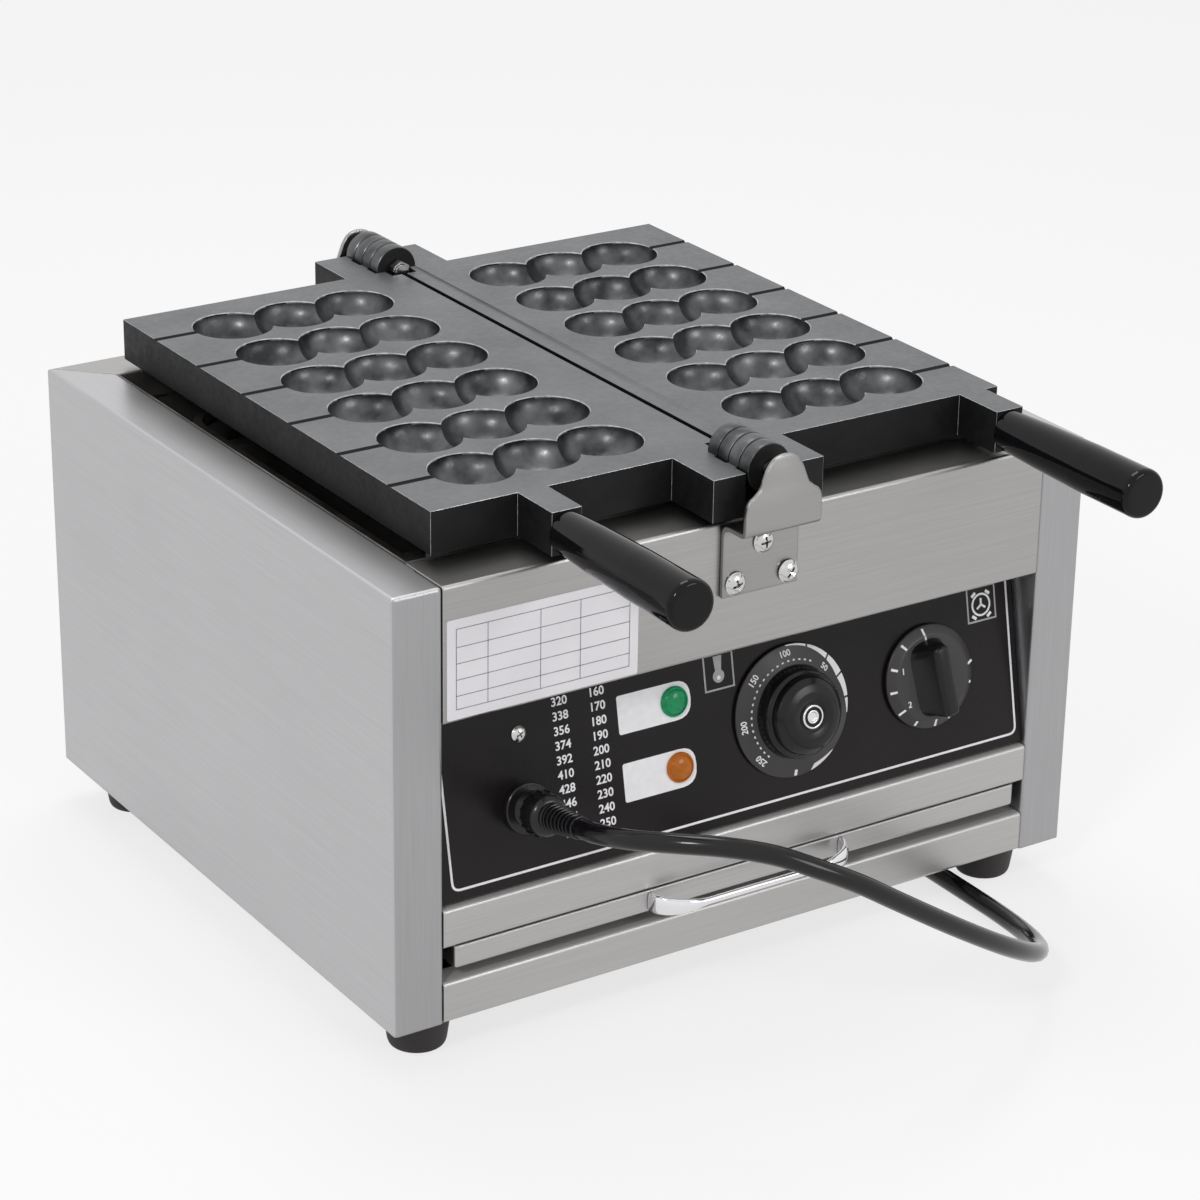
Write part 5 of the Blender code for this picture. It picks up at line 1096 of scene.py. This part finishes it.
def plate_outline(side, handle_x):
    lug_front = PLATE_FRONT - HANDLE_LUG
    near, far = handle_x - HANDLE_LUG_WIDTH / 2, handle_x + HANDLE_LUG_WIDTH / 2
    lug = [(near, PLATE_FRONT), (near, lug_front), (far, lug_front), (far, PLATE_FRONT)]
    outer = [(PLATE_OUTER, PLATE_FRONT), (PLATE_OUTER, PLATE_BACK)]
    outline = hinge_comb(side, -1) + lug + outer + hinge_comb(side, 1)[::-1]
    return [(side * x, y) for x, y in outline]


def row_section(wider=0.0):
    """Half of a row's outline, as (half width, distance from the hinge), from the groove's mouth inwards."""
    radius, groove = BALL_RADIUS + wider, GROOVE + wider
    join = math.acos(BALL_PITCH / 2 / radius)
    tip = math.asin(groove / radius)
    spans = ((tip, math.pi - join, 18), (join, math.pi - join, 14), (join, math.pi, 18))
    points = [(0, GROOVE_END), (groove, GROOVE_END)]
    for ball, (start, end, pieces) in enumerate(spans):
        centre = ROW_MIDDLE + BALL_PITCH * (1 - ball)
        for i in range(1 if ball else 0, pieces + 1):
            angle = start + (end - start) * i / pieces
            points.append((radius * math.sin(angle), centre + radius * math.cos(angle)))
    points[-1] = (0, points[-1][1])
    return points


def row_outline(wider):
    half = row_section(wider)[1:]
    return [(x, y) for y, x in half] + [(x, -y) for y, x in half[-2::-1]]


def turned_row():
    """One row of balls with its groove, turned about its length and pressed a little flat."""
    one = bmesh.new()
    flat = Matrix.Diagonal((BALL_DEEP / BALL_RADIUS, 1, 1, 1))
    lathe(one, row_section(), BALL_STEPS, turned(90, "Y") @ flat @ turned(180 / BALL_STEPS))
    return one


def row_rim():
    """The chamfer round a row of balls and its groove."""
    one = bmesh.new()
    loft(one, [(-RIM, row_outline(-0.0001)), (RIM, row_outline(RIM * 2))])
    bmesh.ops.recalc_face_normals(one, faces=one.faces)
    return one


def all_rows(one, side):
    """All six rows of one plate, set out by Geometry Nodes from a single one."""
    many = repeated(one, ROWS, None, 0.0, (0, ROW_PITCH, 0))
    first = (PLATE_FRONT + PLATE_BACK) / 2 - ROW_PITCH * (ROWS - 1) / 2
    many.transform(moved(0, first, PLATE_TOP))
    if side < 0:
        many.transform(Matrix.Diagonal((-1, 1, 1, 1)))
        many.flip_normals()
    return many


def cast_blank(outline):
    """The plate before it is cut, with its long edges rounded a little."""
    bm = bmesh.new()
    slab(bm, outline, PLATE_TOP - PLATE_DEEP, PLATE_TOP)
    bmesh.ops.recalc_face_normals(bm, faces=bm.faces)
    bmesh.ops.bevel(bm, geom=[e for e in bm.edges if e.calc_length() > 0.004], offset=CAST_EDGE, segments=2,
                    profile=0.5, affect="EDGES", clamp_overlap=True)
    return mesh_from(bm)


def underside_hollow(side):
    bm = bmesh.new()
    inner, outer = sorted((side * (PLATE_INNER + HOLLOW_BORDER), side * (PLATE_OUTER - HOLLOW_BORDER)))
    outline = rectangle((inner, PLATE_FRONT + HOLLOW_BORDER), (outer, PLATE_BACK - HOLLOW_BORDER))
    underside = PLATE_TOP - PLATE_DEEP
    slab(bm, outline, underside - 0.001, underside + HOLLOW_DEEP)
    return solid(bm)


def coat_of(polygon):
    """Which coat a face has: 0 the flat face, a lighter copy as painted light; 1 sides and grooves, a near-black copy
    as painted shade; 2 balls and knuckles; 3 edges with a painted highlight.
    """
    spot, level = polygon.center, polygon.normal.z
    deep, off_hinge = PLATE_TOP - spot.z, abs(spot.x)
    slanting = max(abs(part) for part in polygon.normal) < 0.95
    on_rim = off_hinge > PLATE_OUTER - 0.001 or not PLATE_FRONT + 0.001 < spot.y < PLATE_BACK - 0.001
    in_groove = off_hinge > GROOVE_FROM and deep > 0.0001 and not on_rim
    if level > 0.95 and abs(deep) < 0.0001:
        return 0
    if off_hinge < LUG_INNER and on_rim and deep < -0.0003 and abs(polygon.normal.y) < 0.9:
        return 2
    if slanting and level > -0.1 and off_hinge > LUG_INNER + 0.0002 and (on_rim or deep < 0.0007) and not in_groove:
        return 3
    return 2 if 0 < deep < 0.0180 and level > 0.001 and off_hinge > 0.0260 and not in_groove else 1


for side_name, side in (("left", -1), ("right", 1)):
    bores, discs = bmesh.new(), bmesh.new()
    for end, edge in PLATE_EDGES.items():
        inwards = moved(0, edge, PIN_LEVEL) @ turned(-90 * end, "X")
        reach = KNUCKLES * (KNUCKLE_WIDTH + KNUCKLE_GAP) + 0.002
        bore_profile = [(0, reach), (KNUCKLE_BORE, reach), (KNUCKLE_BORE, SEAM), (NUT_ROOM, SEAM),
                        (NUT_ROOM, -0.0085), (0, -0.0085)]
        lathe(bores, bore_profile, 40, inwards)
        for number in own_knuckles(side, end):
            near, far = knuckle(number)
            ring_profile = [(KNUCKLE_BORE, far), (KNUCKLE_RADIUS, far), (KNUCKLE_RADIUS, near), (KNUCKLE_BORE, near)]
            ring = softened(ring_profile, 0.0011, 3)
            lathe(discs, ring + [ring[0]], 56, inwards)
    bmesh.ops.remove_doubles(discs, verts=discs.verts, dist=1e-6)
    mesh = cast_blank(plate_outline(side, HANDLES[side_name]))
    for tool in (all_rows(turned_row(), side), all_rows(row_rim(), side), underside_hollow(side), solid(bores)):
        mesh = carved(mesh, tool)
    mesh = carved(mesh, solid(discs), "UNION")
    for polygon in mesh.polygons:
        polygon.material_index = coat_of(polygon)
    piece("mould_" + side_name, mesh, [face_coat_painted_light, side_coat_painted_shade, ball_coat, painted_highlight_edge], side_name + "_mould",
          "cast_aluminium", "mould_plate_" + side_name, sharp=18)


# The handles: a steel stud is screwed into the lug of each mould plate and carries a grip.
# The grips are turned from black bakelite and polished.
GRIP_LENGTH = 0.1040
GRIP_PROFILE = ((0, GRIP_LENGTH), (0.0108, GRIP_LENGTH), (0.0120, GRIP_LENGTH - 0.0008),
                (0.0127, GRIP_LENGTH - 0.0024), (0.0126, GRIP_LENGTH * 0.6), (0.0116, GRIP_LENGTH * 0.25),
                (0.0108, 0.0080), (0.0105, 0.0012), (0.0098, 0), (0.0043, 0), (0.0043, 0.0300), (0, 0.0300))
bakelite = moulded("bakelite", (0.003, 0.003, 0.004), (0.006, 0.005, 0.006), 0.07, 1200, 0.00001, 0.2)
for side_name, side in (("left", -1), ("right", 1)):
    place = moved(side * HANDLES[side_name], PLATE_FRONT - HANDLE_LUG - SEAM, PLATE_TOP - PLATE_DEEP / 2)
    bm = bmesh.new()
    lathe(bm, softened(GRIP_PROFILE, 0.0012, 6), 56, place @ turned(90, "X"))
    piece("grip_" + side_name, bm, [bakelite], side_name + "_mould", "black_plastic", "handle_grip_" + side_name)
    give(bright_steel, "handle_stud_" + side_name)


# The crumb tray's handle: a chromed bow pull on the tray's front, cast in one piece
# with a tall foot at each end and a slim bar between.
BOW_HALF = 0.0585
BOW_REACH = 0.0145
BOW_CURVE = 0.0200
BOW_MIDDLE = 0.0570
BOW_THICK = 0.0032
BOW_FOOT_THICK = 0.0040
BOW_TALL = 0.0110
BOW_SLIM = 0.0036
BOW_SLIM_HALF = 0.0370
BOW_STEPS = 16
CURVE_POINTS = 14
BAR_POINTS = 8


def blunted(part, size):
    """A side of an oval section, drawn out towards a rectangle."""
    return math.copysign(abs(part) ** 0.8, part) * size / 2


chrome = finish("bow_chrome", (0.78, 0.78, 0.80), 0.07, 1.0, gloss=(120, 4, 0.05, 0.12))
half_path = []
for i in range(CURVE_POINTS + 1):
    angle = math.pi / 2 * i / CURVE_POINTS
    half_path.append((BOW_HALF - BOW_CURVE * (1 - math.cos(angle)), BOW_REACH * math.sin(angle)))
half_path += [((BOW_HALF - BOW_CURVE) * (1 - i / BAR_POINTS), BOW_REACH) for i in range(1, BAR_POINTS)]
bow_path = [Vector(point) for point in half_path + [(0, BOW_REACH)] + [(-x, y) for x, y in reversed(half_path)]]
bm = bmesh.new()
sections = []
for i, at in enumerate(bow_path):
    run = bow_path[min(i + 1, len(bow_path) - 1)] - bow_path[max(i - 1, 0)]
    if i in (0, len(bow_path) - 1):
        run = Vector((0, 1 if i == 0 else -1))
    across = Vector((-run.y, run.x)).normalized()
    outwards = min(max((abs(at.x) - BOW_SLIM_HALF) / (BOW_HALF - BOW_SLIM_HALF), 0), 1)
    tall = BOW_SLIM + (BOW_TALL - BOW_SLIM) * outwards**0.7
    thick = BOW_THICK + (BOW_FOOT_THICK - BOW_THICK) * outwards
    section = []
    for k in range(BOW_STEPS):
        angle = math.tau * k / BOW_STEPS
        spot = at + across * blunted(math.cos(angle), thick)
        z = BOW_MIDDLE + blunted(math.sin(angle), tall)
        section.append(bm.verts.new((spot.x, FASCIA_FACE - SEAM - spot.y, z)))
    sections.append(section)
for near, far in zip(sections, sections[1:]):
    belt(bm, near, far)
bm.faces.new(sections[0])
bm.faces.new(sections[-1][::-1])
bmesh.ops.recalc_face_normals(bm, faces=bm.faces)
piece("tray_bow", bm, [chrome], "tray", "chrome", "tray_handle", sharp=50)
